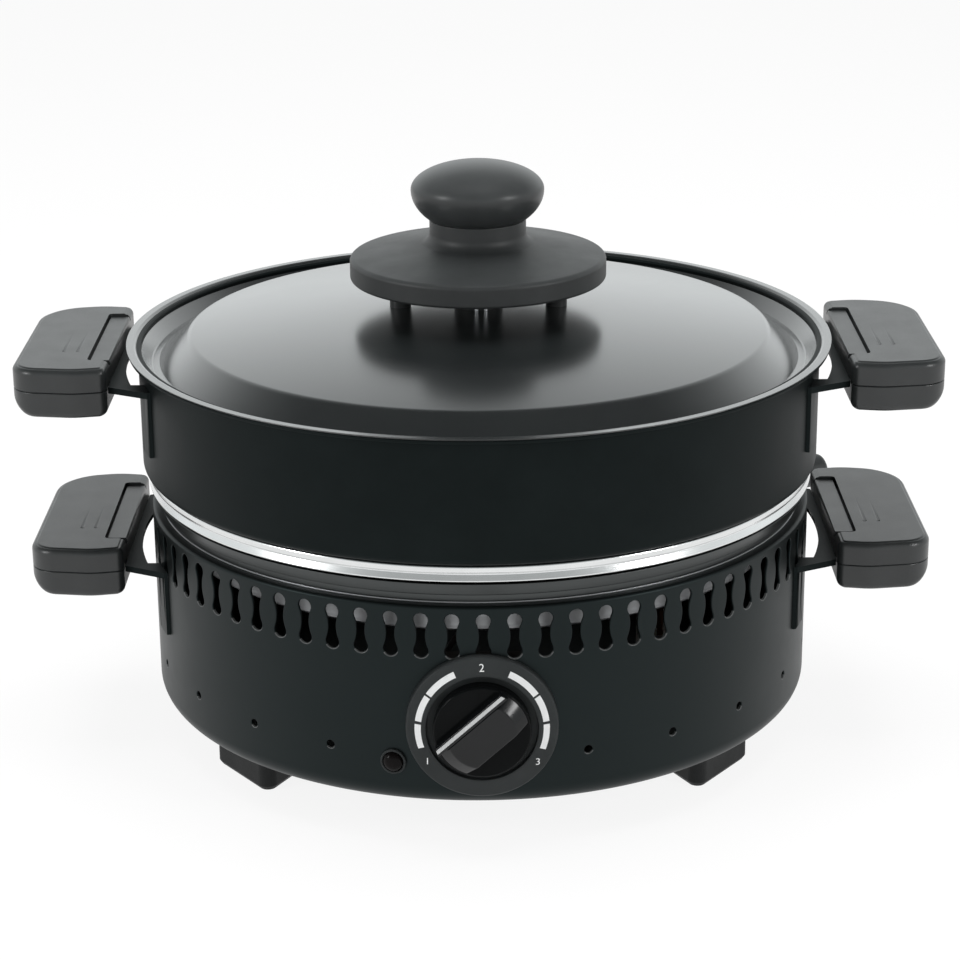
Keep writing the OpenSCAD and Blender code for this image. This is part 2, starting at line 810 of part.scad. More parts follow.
// Push-on nut behind the indicator, seated on the inside of the wall
module indicator_nut() {
    color(zinc) intersection() {
        at_wall(lamp_angle, lamp_z) translate([0, 0, base_in_r - lamp_nut_h]) difference() {
            cylinder(r = lamp_nut_r, h = lamp_nut_h);
            translate([0, 0, -1]) cylinder(r = lens_stem_r + run_gap, h = lamp_nut_h + 2);
        }
        wall_core(base_in_r - weld_gap);
    }
}

module indicator_lamp() {
    color([0.95, 0.6, 0.4]) at_wall(lamp_angle, lamp_z) {
        translate([0, 0, base_r - 2 - neon_l]) cylinder(r = neon_r, h = neon_l);
        translate([0, 0, base_r - 2]) sphere(r = neon_r * 0.3);
    }
}

// Cord gland: a sleeve with a flange on the wall, held by a nut inside
module cord_gland() {
    color(black) difference() {
        union() {
            difference() {
                at_wall(gland_angle, gland_z) revolve([
                    [0, base_r - 4, 0], [gland_flange_r, base_r - 4, 0],
                    [gland_flange_r, base_r + gland_flange_t, 0.5],
                    [gland_r, base_r + gland_flange_t, 0.3], [gland_r, gland_d1, 3], [0, gland_d1, 0]
                ]);
                wall_core(base_r + weld_gap);
            }
            at_wall(gland_angle, gland_z) translate([0, 0, gland_d0])
                cylinder(r = gland_stem_r, h = base_r - gland_d0 + 1);
        }
        at_wall(gland_angle, gland_z) translate([0, 0, gland_d0 - 1])
            cylinder(r = cord_bore_r, h = gland_d1 - gland_d0 + 2);
    }
}

module gland_nut() {
    color(zinc) intersection() {
        at_wall(gland_angle, gland_z) translate([0, 0, base_in_r - gland_nut_h]) difference() {
            cylinder(r = gland_flange_r, h = gland_nut_h, $fn = 6);
            translate([0, 0, -1]) cylinder(r = gland_stem_r + run_gap, h = gland_nut_h + 2);
        }
        wall_core(base_in_r - weld_gap);
    }
}

// Terminal block and wires inside the base
module terminal_block() {
    pitch = 12;
    color(white) difference() {
        translate([block_x - block_w / 2, -block_l / 2, floor_z]) cube([block_w, block_l, block_h]);
        for (y = [-block_screw_y, block_screw_y])
            translate([block_x, y, floor_z - 1]) cylinder(r = block_screw_r + screw_gap, h = block_h + 2);
        for (y = [-pitch / 2, pitch / 2])
            translate([block_x - block_w, y - 0.5, block_top - 6]) cube([2 * block_w, 1, 10]);
    }
}

module block_screws() {
    below = 3;
    color(zinc)
        for (y = [-block_screw_y, block_screw_y])
            translate([block_x, y, block_top])
                screw(block_h + base_t + below, block_screw_r, head_r - 0.4, head_h);
}

// Place of a cold end of the heating tube, at height z
function cold_end(r, z) = let (q = snap([r * cos(turn_start), r * sin(turn_start)])) [q[0], q[1], z];

module wire_block_to_thermostat() {
    y = -12;
    z = dial_z + 5;
    color([0.5, 0.3, 0.2])
        wire([block_x, y, block_top], [[block_x, y, z], [stat_pin_x, y, z]], [stat_pin_x, -stat_d0, z]);
}

module wire_thermostat_to_element() {
    z = dial_z + 5;
    e = cold_end(turn_inner_r, z);
    color([0.8, 0.15, 0.12])
        wire([-stat_pin_x, -stat_d0, z], [[-stat_pin_x, e[1], z], e], cold_end(turn_inner_r, cold_z));
}

module wire_block_to_element() {
    y = 12;
    x = block_x - wire_detour;
    z = cold_z - wire_drop;
    e = cold_end(turn_outer_r, z);
    color([0.15, 0.3, 0.7]) wire(
        [block_x, y, block_top], [[block_x, y, z], [x, y, z], [x, e[1], z], e], cold_end(turn_outer_r, cold_z)
    );
}

// Drawn in the frame of the lamp, which is turned about the axis of the base
module wire_block_to_lamp() {
    back = 2 + neon_l - base_r;
    z = lamp_z + lamp_wire_rise;
    y = back + lamp_wire_run;
    q = snap([block_x * cos(lamp_angle), -block_x * sin(lamp_angle)]);
    color([0.2, 0.2, 0.2]) rotate([0, 0, lamp_angle])
        wire([0, back, lamp_z], [
            [0, y, lamp_z], [0, y, z], [0, q[1], z], [q[0], q[1], z]
        ], [q[0], q[1], block_top]);
}

// Feet
module foot(i) {
    x1 = foot_reach - foot_round;
    x0 = foot_reach - foot_l + foot_round;
    y1 = foot_w / 2 - foot_round;
    y0 = foot_inner_w / 2 - foot_round;
    color(black) at_foot(i) difference() {
        hull($fn = 32)
            for (p = [[x1, y1], [x1, -y1], [x0, y0], [x0, -y0]]) {
                translate([p[0], p[1], foot_edge]) cylinder(r = foot_round, h = foot_h - foot_edge, $fn = 32);
                translate([p[0], p[1], 0]) cylinder(r = foot_round - foot_edge * 0.7, h = foot_h, $fn = 32);
            }
        translate([foot_screw_r, 0, -1]) cylinder(r = screw_r + screw_gap, h = foot_h + 2);
        translate([foot_screw_r, 0, -1]) cylinder(r = head_r + 0.6, h = foot_bore_depth + 1);
    }
}

module foot_screws() {
    l = foot_h - foot_bore_depth + base_t + nut_h + 1;
    color(zinc)
        for (i = [0:3])
            at_foot(i) translate([foot_screw_r, 0, foot_bore_depth]) mirror([0, 0, 1])
                screw(l, screw_r, head_r, head_h);
}

module foot_nuts() {
    color(zinc)
        for (i = [0:3])
            at_foot(i) translate([foot_screw_r, 0, floor_z]) difference() {
                cylinder(r = nut_r, h = nut_h, $fn = 6);
                translate([0, 0, -1]) cylinder(r = screw_r + run_gap, h = nut_h + 2);
            }
}

// Handles: a bracket with two tabs on the wall, and a grip of two halves screwed over its tongue
function tab_x(wall_r) = sqrt(pow(wall_r + weld_gap + tab_t, 2) - pow(tab_in + tab_w, 2));

module bracket_outline(wall_r, x) {
    tab_out = tab_in + tab_w;
    half = [
        [wall_r * 0.8, tab_out], [tab_x(wall_r), tab_out], [x - 0.3, arm_y], [x - 0.3, tongue_y],
        [x + tongue_l, tongue_y]
    ];
    difference() {
        polygon(concat(half, [for (p = flip(half)) [p[0], -p[1]]]));
        intersection() {
            circle(r = wall_r + bracket_cut);
            square([3 * wall_r, 2 * (tab_in - 1)], center = true);
        }
        for (y = [-grip_screw_y, grip_screw_y])
            translate([x + grip_screw_x, y]) circle(r = screw_r + screw_gap);
    }
}

// The lip that turns down along the outer edge of an arm
module lip_outline(wall_r, x) {
    tab_out = tab_in + tab_w;
    t = 1.15 * tab_t;
    polygon([
        [tab_x(wall_r), tab_out], [x - 0.3, arm_y], [x - 0.3, arm_y - t], [tab_x(wall_r), tab_out - t]
    ]);
}

module bracket(wall_r, x, z) {
    seat_r = wall_r + weld_gap;
    top = z + bracket_t / 2;
    color(paint) difference() {
        union() {
            translate([0, 0, top - bracket_t]) linear_extrude(bracket_t) bracket_outline(wall_r, x);
            for (m = [0, 1])
                mirror([0, m, 0]) {
                    translate([0, 0, top - lip_h]) linear_extrude(lip_h - eps) lip_outline(wall_r, x);
                    intersection() {
                        translate([0, 0, top - tab_h])
                            cylinder(r = seat_r + tab_t, h = tab_h - 2 * eps, $fn = wall_fn);
                        translate([wall_r / 2, tab_in, top - 2 * tab_h]) cube([wall_r, tab_w, 4 * tab_h]);
                    }
                }
        }
        translate([0, 0, top - 2 * tab_h]) cylinder(r = seat_r, h = 4 * tab_h, $fn = wall_fn);
    }
}

// The whole grip, from above and from the front
module grip_blank(x, z) {
    inner = 4;
    end = grip_l / 2;
    half = [
        [x, end - grip_bow, inner], [x + grip_w / 3, end, 30], [x + grip_w, end - 2 * grip_bow, grip_corner]
    ];
    intersection() {
        translate([0, 0, z - grip_t]) linear_extrude(grip_t)
            polygon(rounded(concat([for (p = half) [p[0], -p[1], p[2]]], flip(half)), 8));
        rotate([90, 0, 0]) linear_extrude(grip_l + 2, center = true) polygon(rounded([
            [x, z - grip_t, inner], [x + grip_w, z - grip_t, grip_belly], [x + grip_w, z, 2.5], [x, z, 1.5]
        ], 6));
    }
}

// The space that the tongue of the bracket takes in the grip
module tongue_pocket(x, z) {
    l = tongue_l + 1 + screw_gap;
    translate([x - 1, -tongue_y - screw_gap, z - bracket_t / 2])
        cube([l, 2 * (tongue_y + screw_gap), bracket_t]);
}

module at_grip_screws(x, z) {
    for (y = [-grip_screw_y, grip_screw_y])
        translate([x + grip_screw_x, y, z]) children();
}

module grip_upper(x, z) {
    mid = z - grip_t / 2;
    color(moulding) difference() {
        grip_blank(x, z);
        translate([x - 1, -grip_l, mid - grip_t]) cube([2 * grip_w, 2 * grip_l, grip_t]);
        tongue_pocket(x, mid);
        at_grip_screws(x, mid) cylinder(r = screw_r + run_gap, h = grip_t / 2 - 3);
        translate([x - 1, -thumb_l / 2, z - thumb_depth]) cube([thumb_w + 1, thumb_l, grip_t]);
        for (r = rib_x)
            translate([x + r - rib_w / 2, -rib_l / 2, z - rib_depth]) cube([rib_w, rib_l, grip_t]);
    }
}

module grip_lower(x, z) {
    mid = z - grip_t / 2;
    color(moulding) difference() {
        grip_blank(x, z);
        translate([x - 1, -grip_l, mid]) cube([2 * grip_w, 2 * grip_l, grip_t]);
        tongue_pocket(x, mid);
        at_grip_screws(x, z - grip_t - 1) cylinder(r = screw_r + screw_gap, h = grip_t);
        at_grip_screws(x, z - grip_t - 1) cylinder(r = head_r + 0.6, h = grip_bore_depth + 1);
    }
}

// The screws of both grips at one height
module grip_screws(x, z) {
    l = grip_t - grip_bore_depth - 6;
    color(zinc)
        for (s = [0, 1])
            at_side(s) at_grip_screws(x, z - grip_t + grip_bore_depth) mirror([0, 0, 1])
                screw(l, screw_r, head_r, head_h);
}

// Pan: a drawn bowl with a flange, whose lower part sinks into the ring
module pan_shell() {
    color(paint) revolve([
        [0, pan_z0, 0], [pan_nest_r, pan_z0, 3], [pan_nest_r, ring_z1, 0.6], [pan_r, ring_z1, 3],
        [pan_r, pan_z1 - pan_flange_t, 0.6], [pan_flange_r, pan_z1 - pan_flange_t, 0.4],
        [pan_flange_r, pan_z1, 0.4], [pan_in_r, pan_z1, 1.2], [pan_in_r, ring_z1 + pan_t, 1.4],
        [pan_nest_r - pan_t, ring_z1 + pan_t, 1], [pan_nest_r - pan_t, pan_z0 + pan_t, 2],
        [0, pan_z0 + pan_t, 0]
    ]);
}

// Lid: a pressed sheet with a rim, a gutter and a raised middle that is flat under the boss of the guard
dome_w = plateau_r - lid_seat_r;
function dome_z(r) = lid_top - dome_rise * pow(max(r - lid_seat_r, 0) / dome_w, 2);
function dome_r(i) = lid_seat_r + dome_w * i / dome_steps;
lid_line = [
    [0, lid_top, 0], for (i = [0:dome_steps - 1]) [dome_r(i), dome_z(dome_r(i)), 0],
    [plateau_r, plateau_z, 2], [gutter_in_r, gutter_z, 0.8], [gutter_out_r, gutter_z, 0.8],
    [lid_neck_r, lid_z1, 0.6], [lid_r, lid_z1, 0.3]
];

module lid_shell() {
    color(paint) difference() {
        revolve(concat(lid_line, [for (p = flip(lid_line)) [p[0], p[1] - lid_t, p[2]]]), 4);
        translate([0, 0, lid_top - 5]) cylinder(r = bolt_hole_r, h = 10);
    }
}

// Guard disc, with its neck above and its boss below
module heat_guard() {
    color(black) revolve([
        [bolt_hole_r, lid_top, 0], [hub_r, lid_top, 0.4], [hub_r, guard_z0, 1.5], [guard_r, guard_z0, 1.2],
        [guard_r, guard_z1, 2], [neck_r, neck_z0, 4], [neck_r, neck_z1, 0.5], [bolt_hole_r, neck_z1, 0]
    ]);
}

module guard_leg() {
    z0 = dome_z(leg_x - leg_d / 2);
    color(black) translate([leg_x, 0, z0]) cylinder(d = leg_d, h = guard_z0 - z0);
}

// Knob of the lid: a flattened ball on the neck
module lid_knob() {
    top = bulb_top_z - bulb_mid_z;
    low = bulb_low / sin(acos(neck_r / bulb_r));
    start = -acos(neck_r / bulb_r);
    hole_r = insert_r + press_gap;
    hole_z = neck_z1 + insert_l + 0.5;
    turns = [for (i = [0:bulb_steps]) start + (90 - start) * i / bulb_steps];
    color(black) difference() {
        rotate_extrude() polygon(concat(
            [for (a = turns) [bulb_r * max(cos(a), 0), bulb_mid_z + (a < 0 ? low : top) * sin(a)]],
            [[0, neck_z1]]
        ));
        translate([0, 0, neck_z1 - 1]) cylinder(r = hole_r, h = hole_z - neck_z1 + 1);
    }
}

module knob_insert() {
    color([0.75, 0.6, 0.25]) difference() {
        translate([0, 0, neck_z1]) cylinder(r = insert_r, h = insert_l);
        translate([0, 0, neck_z1 - 1]) cylinder(r = bolt_r + press_gap, h = insert_l - 1);
    }
}

module lid_washer() {
    color(zinc) translate([0, 0, lid_top - lid_t - washer_t]) difference() {
        cylinder(r = washer_r, h = washer_t);
        translate([0, 0, -1]) cylinder(r = bolt_hole_r, h = washer_t + 2);
    }
}

module lid_bolt() {
    seat = lid_top - lid_t - washer_t;
    color(steel) translate([0, 0, seat]) mirror([0, 0, 1])
        screw(neck_z1 + insert_l - 3 - seat, bolt_r, bolt_head_r, bolt_head_h);
}

// The base
base_housing();
base_floor();
rim_ring();
ring_screws();
reflector_dish();
heating_element();
element_bushings();
for (i = [0:2]) element_clip(i);
dial_bezel();
dial_screws();
thermostat_body();
thermostat_plate();
indicator_lens();
indicator_nut();
indicator_lamp();
cord_gland();
gland_nut();
terminal_block();
block_screws();
wire_block_to_thermostat();
wire_thermostat_to_element();
wire_block_to_element();
wire_block_to_lamp();
for (i = [0:3]) foot(i);
foot_screws();
foot_nuts();
for (s = [0, 1]) {
    base_mid = base_grip_z - grip_t / 2;
    at_side(s) bracket(base_r, base_grip_x, base_mid);
    at_side(s) grip_upper(base_grip_x, base_grip_z);
    at_side(s) grip_lower(base_grip_x, base_grip_z);
}
grip_screws(base_grip_x, base_grip_z);  // base_grip_screws

// The dial
dial_knob();
dial_pointer();
thermostat_shaft();

// The pan
pan_shell();
for (s = [0, 1]) {
    pan_mid = pan_grip_z - grip_t / 2;
    at_side(s) bracket(pan_r, pan_grip_x, pan_mid);
    at_side(s) grip_upper(pan_grip_x, pan_grip_z);
    at_side(s) grip_lower(pan_grip_x, pan_grip_z);
}
grip_screws(pan_grip_x, pan_grip_z);  // pan_grip_screws

// The lid
lid_shell();
heat_guard();
for (s = [0, 1])
    at_side(s) guard_leg();
lid_knob();
knob_insert();
lid_bolt();
lid_washer();
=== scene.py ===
import math

import bmesh
import bpy
from mathutils import Matrix, Vector
from mathutils.geometry import delaunay_2d_cdt


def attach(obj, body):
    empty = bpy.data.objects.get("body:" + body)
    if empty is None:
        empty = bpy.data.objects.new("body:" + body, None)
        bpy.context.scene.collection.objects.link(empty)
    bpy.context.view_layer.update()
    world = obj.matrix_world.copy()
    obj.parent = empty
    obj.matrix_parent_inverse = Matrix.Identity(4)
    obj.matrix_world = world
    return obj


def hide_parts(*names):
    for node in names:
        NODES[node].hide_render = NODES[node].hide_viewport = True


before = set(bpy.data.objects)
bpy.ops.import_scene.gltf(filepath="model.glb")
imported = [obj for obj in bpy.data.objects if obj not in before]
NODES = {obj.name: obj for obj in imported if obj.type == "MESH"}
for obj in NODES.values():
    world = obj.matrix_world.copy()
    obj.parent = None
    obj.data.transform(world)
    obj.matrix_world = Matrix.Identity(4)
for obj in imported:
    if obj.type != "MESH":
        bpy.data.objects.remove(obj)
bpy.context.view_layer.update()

MM = 0.001
scene = bpy.context.scene
scene.view_settings.view_transform = "Standard"


# Camera, at the photograph's angle

CAMERA_TARGET = Vector((0, 0, 0.1125))
CAMERA_DISTANCE = 1.211451
CAMERA_RISE = math.radians(19.143)
CAMERA_ROLL = math.radians(-0.51)
CAMERA_LENS, CAMERA_SENSOR, CAMERA_REACH = 97.5, 36, 50


def make_camera():
    data = bpy.data.cameras.new("camera")
    data.lens = CAMERA_LENS
    data.sensor_width = CAMERA_SENSOR
    data.clip_end = CAMERA_REACH
    camera = bpy.data.objects.new("camera", data)
    scene.collection.objects.link(camera)
    back = Vector((0, -math.cos(CAMERA_RISE), math.sin(CAMERA_RISE)))
    turn = (-back).to_track_quat("-Z", "Y").to_matrix().to_4x4()
    roll = Matrix.Rotation(CAMERA_ROLL, 4, "Z")
    camera.matrix_world = Matrix.Translation(CAMERA_TARGET + back * CAMERA_DISTANCE) @ turn @ roll
    scene.camera = camera


# Materials

def new_material(name, colour, rough, metal=0.0, **sockets):
    """A material with a Principled shader; further sockets are named with underscores for spaces."""
    material = bpy.data.materials.new(name)
    material.use_nodes = True
    shader = material.node_tree.nodes["Principled BSDF"]
    shader.inputs["Base Color"].default_value = (*colour, 1)
    shader.inputs["Roughness"].default_value = rough
    shader.inputs["Metallic"].default_value = metal
    for socket, value in sockets.items():
        shader.inputs[socket.replace("_", " ")].default_value = value
    return material


def add_node(material, kind, **inputs):
    node = material.node_tree.nodes.new("ShaderNode" + kind)
    for socket, value in inputs.items():
        node.inputs[socket.replace("_", " ")].default_value = value
    return node


def join(material, output, target):
    material.node_tree.links.new(output, target)


def object_place(material):
    return add_node(material, "TexCoord").outputs["Object"]


def noise(material, place, scale, detail=3.0, rough=0.5):
    node = add_node(material, "TexNoise", Scale=scale, Detail=detail, Roughness=rough)
    join(material, place, node.inputs["Vector"])
    return node.outputs[0]


def ramp(material, factor, stops):
    node = add_node(material, "ValToRGB")
    elements = node.color_ramp.elements
    while len(elements) < len(stops):
        elements.new(0.5)
    for element, (position, colour) in zip(elements, stops):
        element.position = position
        element.color = (*colour, 1)
    join(material, factor, node.inputs[0])
    return node.outputs[0]


def spread(material, factor, low, high):
    """A noise factor spread from low to high."""
    node = add_node(material, "MapRange", From_Min=0.3, From_Max=0.7, To_Min=low, To_Max=high)
    join(material, factor, node.inputs["Value"])
    return node.outputs[0]


def bump(material, height, depth):
    node = add_node(material, "Bump", Strength=1.0, Distance=depth)
    join(material, height, node.inputs["Height"])
    return node.outputs[0]


def finish_shader(material, colour, rough, normal):
    shader = material.node_tree.nodes["Principled BSDF"]
    for socket, output in (("Base Color", colour), ("Roughness", rough), ("Normal", normal)):
        join(material, output, shader.inputs[socket])
    return material


def tint(colour, factor):
    return tuple(min(1.0, c * factor) for c in colour)


def coated(name, colour, rough, grain, depth, vary=0.25, **sockets):
    """A sprayed or moulded finish: fine grain, broad cloudy changes of colour and gloss."""
    material = new_material(name, colour, rough, **sockets)
    place = object_place(material)
    broad = noise(material, place, scale=28.0, detail=4.0, rough=0.6)
    fine = noise(material, place, scale=grain, detail=2.0, rough=0.6)
    shade = ramp(material, broad, [(0.3, tint(colour, 1 - vary)), (0.7, tint(colour, 1 + vary))])
    gloss = spread(material, broad, rough * 0.93, rough * 1.07)
    return finish_shader(material, shade, gloss, bump(material, fine, depth))


def grained(name, colour, rough, grain, depth, **sockets):
    """A matt moulding with an even, fine erosion grain and slight rubbing."""
    material = new_material(name, colour, rough, **sockets)
    place = object_place(material)
    cell = add_node(material, "TexVoronoi", Scale=grain)
    join(material, place, cell.inputs["Vector"])
    rub = noise(material, place, scale=60.0, detail=5.0, rough=0.65)
    shade = ramp(material, rub, [(0.25, tint(colour, 0.85)), (0.75, tint(colour, 1.15))])
    gloss = spread(material, rub, rough * 1.06, rough * 0.92)
    return finish_shader(material, shade, gloss, bump(material, cell.outputs["Distance"], depth))


def spun(name, colour, rough, depth):
    """Sheet metal turned about the Z axis: fine rings that run round the axis."""
    material = new_material(name, colour, rough, metal=1.0)
    place = object_place(material)
    apart = add_node(material, "SeparateXYZ")
    join(material, place, apart.inputs[0])
    flat = add_node(material, "CombineXYZ")
    join(material, apart.outputs[0], flat.inputs[0])
    join(material, apart.outputs[1], flat.inputs[1])
    radius = add_node(material, "VectorMath")
    radius.operation = "LENGTH"
    join(material, flat.outputs[0], radius.inputs[0])
    line = add_node(material, "CombineXYZ")
    join(material, radius.outputs["Value"], line.inputs[0])
    join(material, apart.outputs[2], line.inputs[2])
    streak = noise(material, line.outputs[0], scale=2600.0, detail=3.0, rough=0.7)
    cloud = noise(material, place, scale=22.0, detail=4.0, rough=0.6)
    shade = ramp(material, cloud, [(0.3, tint(colour, 0.93)), (0.7, tint(colour, 1.05))])
    gloss = spread(material, streak, rough * 0.8, rough * 1.25)
    return finish_shader(material, shade, gloss, bump(material, streak, depth))


def plated(name, colour, rough):
    """Plated or bare small metal parts, with a faint mottled finish."""
    material = new_material(name, colour, rough, metal=1.0)
    place = object_place(material)
    mottle = noise(material, place, scale=420.0, detail=5.0, rough=0.7)
    shade = ramp(material, mottle, [(0.3, tint(colour, 0.82)), (0.7, tint(colour, 1.1))])
    gloss = spread(material, mottle, rough * 0.8, rough * 1.25)
    return finish_shader(material, shade, gloss, bump(material, mottle, depth=0.00002))


COOL = (0.76, 0.98, 1.0, 1.0)
MATERIALS = {
    "black_coat": coated("black_coat", (0.0042, 0.0056, 0.0056), 0.46, 1500.0, 0.000006,
                         Specular_IOR_Level=0.095, Specular_Tint=COOL),
    "base_coat": coated("base_coat", (0.0018, 0.0024, 0.0024), 0.42, 1500.0, 0.000006,
                        Specular_IOR_Level=0.24, Specular_Tint=COOL),
    # A lighter grey for the upward-facing lower lips of the slots: a painted highlight of the light that falls on
    # them
    "lip_highlight": coated("lip_highlight", (0.06, 0.064, 0.064), 0.4, 1500.0, 0.000006),
    "lid_coat": coated("lid_coat", (0.0115, 0.0135, 0.0138), 0.22, 1300.0, 0.0000012, 0.12,
                       Specular_IOR_Level=0.7, Coat_Weight=1.0, Coat_Roughness=0.22),
    "grip_black": grained("grip_black", (0.0185, 0.0205, 0.0208), 0.32, 2600.0, 0.000025),
    "moulded_black": grained("moulded_black", (0.026, 0.0285, 0.029), 0.46, 3000.0, 0.00003,
                             Specular_IOR_Level=0.35),
    "bezel_black": grained("bezel_black", (0.028, 0.031, 0.0315), 0.4, 3000.0, 0.00002,
                           Specular_IOR_Level=0.1),
    "gloss_black": coated("gloss_black", (0.004, 0.0045, 0.005), 0.14, 700.0, 0.000003,
                          Specular_IOR_Level=0.32),
    "disc_black": coated("disc_black", (0.003, 0.0034, 0.0036), 0.16, 700.0, 0.000003,
                         Specular_IOR_Level=0.06),
    "knob_black": coated("knob_black", (0.034, 0.037, 0.0375), 0.34, 900.0, 0.000006,
                         Specular_IOR_Level=0.35),
    "foot_black": grained("foot_black", (0.007, 0.008, 0.0083), 0.6, 1800.0, 0.00006,
                          Specular_IOR_Level=0.25),
    "bright_ring": spun("bright_ring", (0.74, 0.75, 0.75), 0.2, 0.000003),
    # A darkened copy of the ring's steel: painted shade on the ring's lower, downward-facing slope; the ring's
    # screws take it as well
    "dark_ring": spun("dark_ring", (0.075, 0.08, 0.08), 0.35, 0.000004),
    "reflector": spun("reflector", (0.42, 0.43, 0.44), 0.42, 0.000008),
    "tube_sheath": plated("tube_sheath", (0.16, 0.15, 0.145), 0.48),
    "ceramic_white": grained("ceramic_white", (0.78, 0.76, 0.70), 0.45, 1400.0, 0.00003),
    # The thermostat case is near black so that it shows dark through the slots, like the shaded inside of the base:
    # painted shade
    "thermostat_case": grained("thermostat_case", (0.032, 0.029, 0.027), 0.5, 1600.0, 0.00004),
    "zinc_plate": plated("zinc_plate", (0.58, 0.59, 0.61), 0.32),
    "brass_insert": plated("brass_insert", (0.72, 0.52, 0.21), 0.3),
    "white_line": coated("white_line", (0.72, 0.73, 0.73), 0.5, 1500.0, 0.00001, 0.06),
    "pointer_white": coated("pointer_white", (0.46, 0.47, 0.47), 0.5, 1500.0, 0.00001, 0.06),
    "lens_red": coated("lens_red", (0.0045, 0.0036, 0.0036), 0.16, 900.0, 0.000003,
                       Specular_IOR_Level=0.08),
    "lamp_glass": coated("lamp_glass", (0.7, 0.42, 0.3), 0.1, 600.0, 0.000003, 0.1),
    "wire_brown": grained("wire_brown", (0.13, 0.06, 0.03), 0.5, 1500.0, 0.00004),
    "wire_red": grained("wire_red", (0.45, 0.03, 0.025), 0.5, 1500.0, 0.00004),
    "wire_blue": grained("wire_blue", (0.03, 0.08, 0.32), 0.5, 1500.0, 0.00004),
    "wire_black": grained("wire_black", (0.02, 0.02, 0.021), 0.5, 1500.0, 0.00004),
}
MATERIAL_OF = {"lid_knob": "knob_black", "ring_screws": "dark_ring"}


def dress_nodes():
    """Gives each node of the frame the material of its slot, or its own one."""
    for name, node in NODES.items():
        first = node.material_slots[0]
        slot = first.material.name.split(".")[0]
        first.material = MATERIALS[MATERIAL_OF.get(name, slot)]


# Outlines and meshes, in millimetres

def edge_normal(a, b):
    d = (b - a).normalized()
    return Vector((d.y, -d.x))


def rounded(corners, seg=8):
    """Points and outward normals of a closed outline of corners (x, y, radius), counter-clockwise."""
    area = sum(a[0] * b[1] - b[0] * a[1] for a, b in zip(corners, corners[1:] + corners[:1]))
    if area < 0:
        corners = corners[::-1]
    n = len(corners)
    out = []
    for i in range(n):
        p = Vector(corners[i][:2])
        a = Vector(corners[i - 1][:2])
        c = Vector(corners[(i + 1) % n][:2])
        r = corners[i][2]
        if r == 0:
            out.append((p, (edge_normal(a, p) + edge_normal(p, c)).normalized()))
            continue
        u = (a - p).normalized()
        w = (c - p).normalized()
        half = math.acos(max(-1.0, min(1.0, u.dot(w)))) / 2
        centre = p + (u + w).normalized() * (r / math.sin(half))
        start = p + u * (r / math.tan(half)) - centre
        sweep = math.pi - 2 * half
        side = 1 if (p - a).cross(c - p) > 0 else -1
        first = math.atan2(start.y, start.x)
        for k in range(seg + 1):
            turn = first + side * sweep * k / seg
            ray = Vector((math.cos(turn), math.sin(turn)))
            out.append((centre + ray * r, ray * side))
    return out


def make_piece(name, made, material, body, replaced):
    """A piece from a mesh in the making, in millimetres."""
    mesh = bpy.data.meshes.new(name)
    mesh.from_pydata([v * MM for v in made.verts], [], made.faces)
    mesh.polygons.foreach_set("use_smooth", [True] * len(mesh.polygons))
    mesh.update()
    mesh.normals_split_custom_set_from_vertices([tuple(n) for n in made.normals])
    return place_piece(name, mesh, material, body, replaced)


def place_piece(name, mesh, material, body, replaced):
    """Puts a mesh in the scene as a piece of a body, in the place of the replaced nodes."""
    mesh.materials.clear()
    mesh.materials.append(MATERIALS[material])
    piece = bpy.data.objects.new(name, mesh)
    scene.collection.objects.link(piece)
    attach(piece, body)
    if replaced:
        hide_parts(*replaced)
    return piece


STEPS = 360
SEAM = math.radians(180.3)
AXIS_R = 1e-6
EDGE_SEGMENTS = 3


def wall_angle(k):
    """The k-th of the angles round the axis, from the front (-Y) towards +X."""
    return SEAM + 2 * math.pi * k / STEPS


def turned_out(r, a, z):
    """The point at a radius, an angle from the front and a height."""
    return Vector((r * math.sin(a), -r * math.cos(a), z))


class Body:
    """Vertices, normals and faces of a mesh in the making, and which lip faces of slots get a painted highlight."""

    def __init__(self):
        self.verts = []
        self.normals = []
        self.faces = []
        self.highlit_lips = []

    def add(self, v, n):
        self.verts.append(v)
        self.normals.append(n)
        return len(self.verts) - 1

    def ring(self, point, normal):
        """A ring of vertices from a point (radius, height) of an outline."""
        if point.x < AXIS_R:
            return [self.add(Vector((0, 0, point.y)), Vector((0, 0, math.copysign(1, normal.y))))] * STEPS
        turns = [wall_angle(k) for k in range(STEPS)]
        return [self.add(turned_out(point.x, a, point.y), turned_out(normal.x, a, normal.y)) for a in turns]

    def band(self, low, high):
        """Faces between two rings; triangles where a ring is a point."""
        for k in range(STEPS):
            j = (k + 1) % STEPS
            face = [low[k], low[j], high[j], high[k]]
            face = [v for i, v in enumerate(face) if v != face[i - 1]]
            if len(face) > 2:
                self.faces.append(face)


def turn_outline(outline):
    """Turns a closed outline about the Z axis."""
    made = Body()
    rings = [made.ring(p, n) for p, n in outline]
    for i, low in enumerate(rings):
        j = (i + 1) % len(rings)
        if outline[i][0].x >= AXIS_R or outline[j][0].x >= AXIS_R:
            made.band(low, rings[j])
    return made


def lathe(name, corners, material, body, replaced, seg=8, place=None):
    """A piece turned from corners (radius, height, rounding) about the Z axis, or about that axis at a place."""
    made = turn_outline(rounded(corners, seg))
    if place is not None:
        seat_on_wall(made, place)
    return make_piece(name, made, material, body, replaced)


def at_wall(angle, z):
    """Local X to the right, Y up and Z out from the axis, at an angle from the front and a height."""
    turn = Matrix.Rotation(math.radians(angle), 4, "Z") @ Matrix.Translation((0, 0, z))
    return turn @ Matrix.Rotation(math.pi / 2, 4, "X")


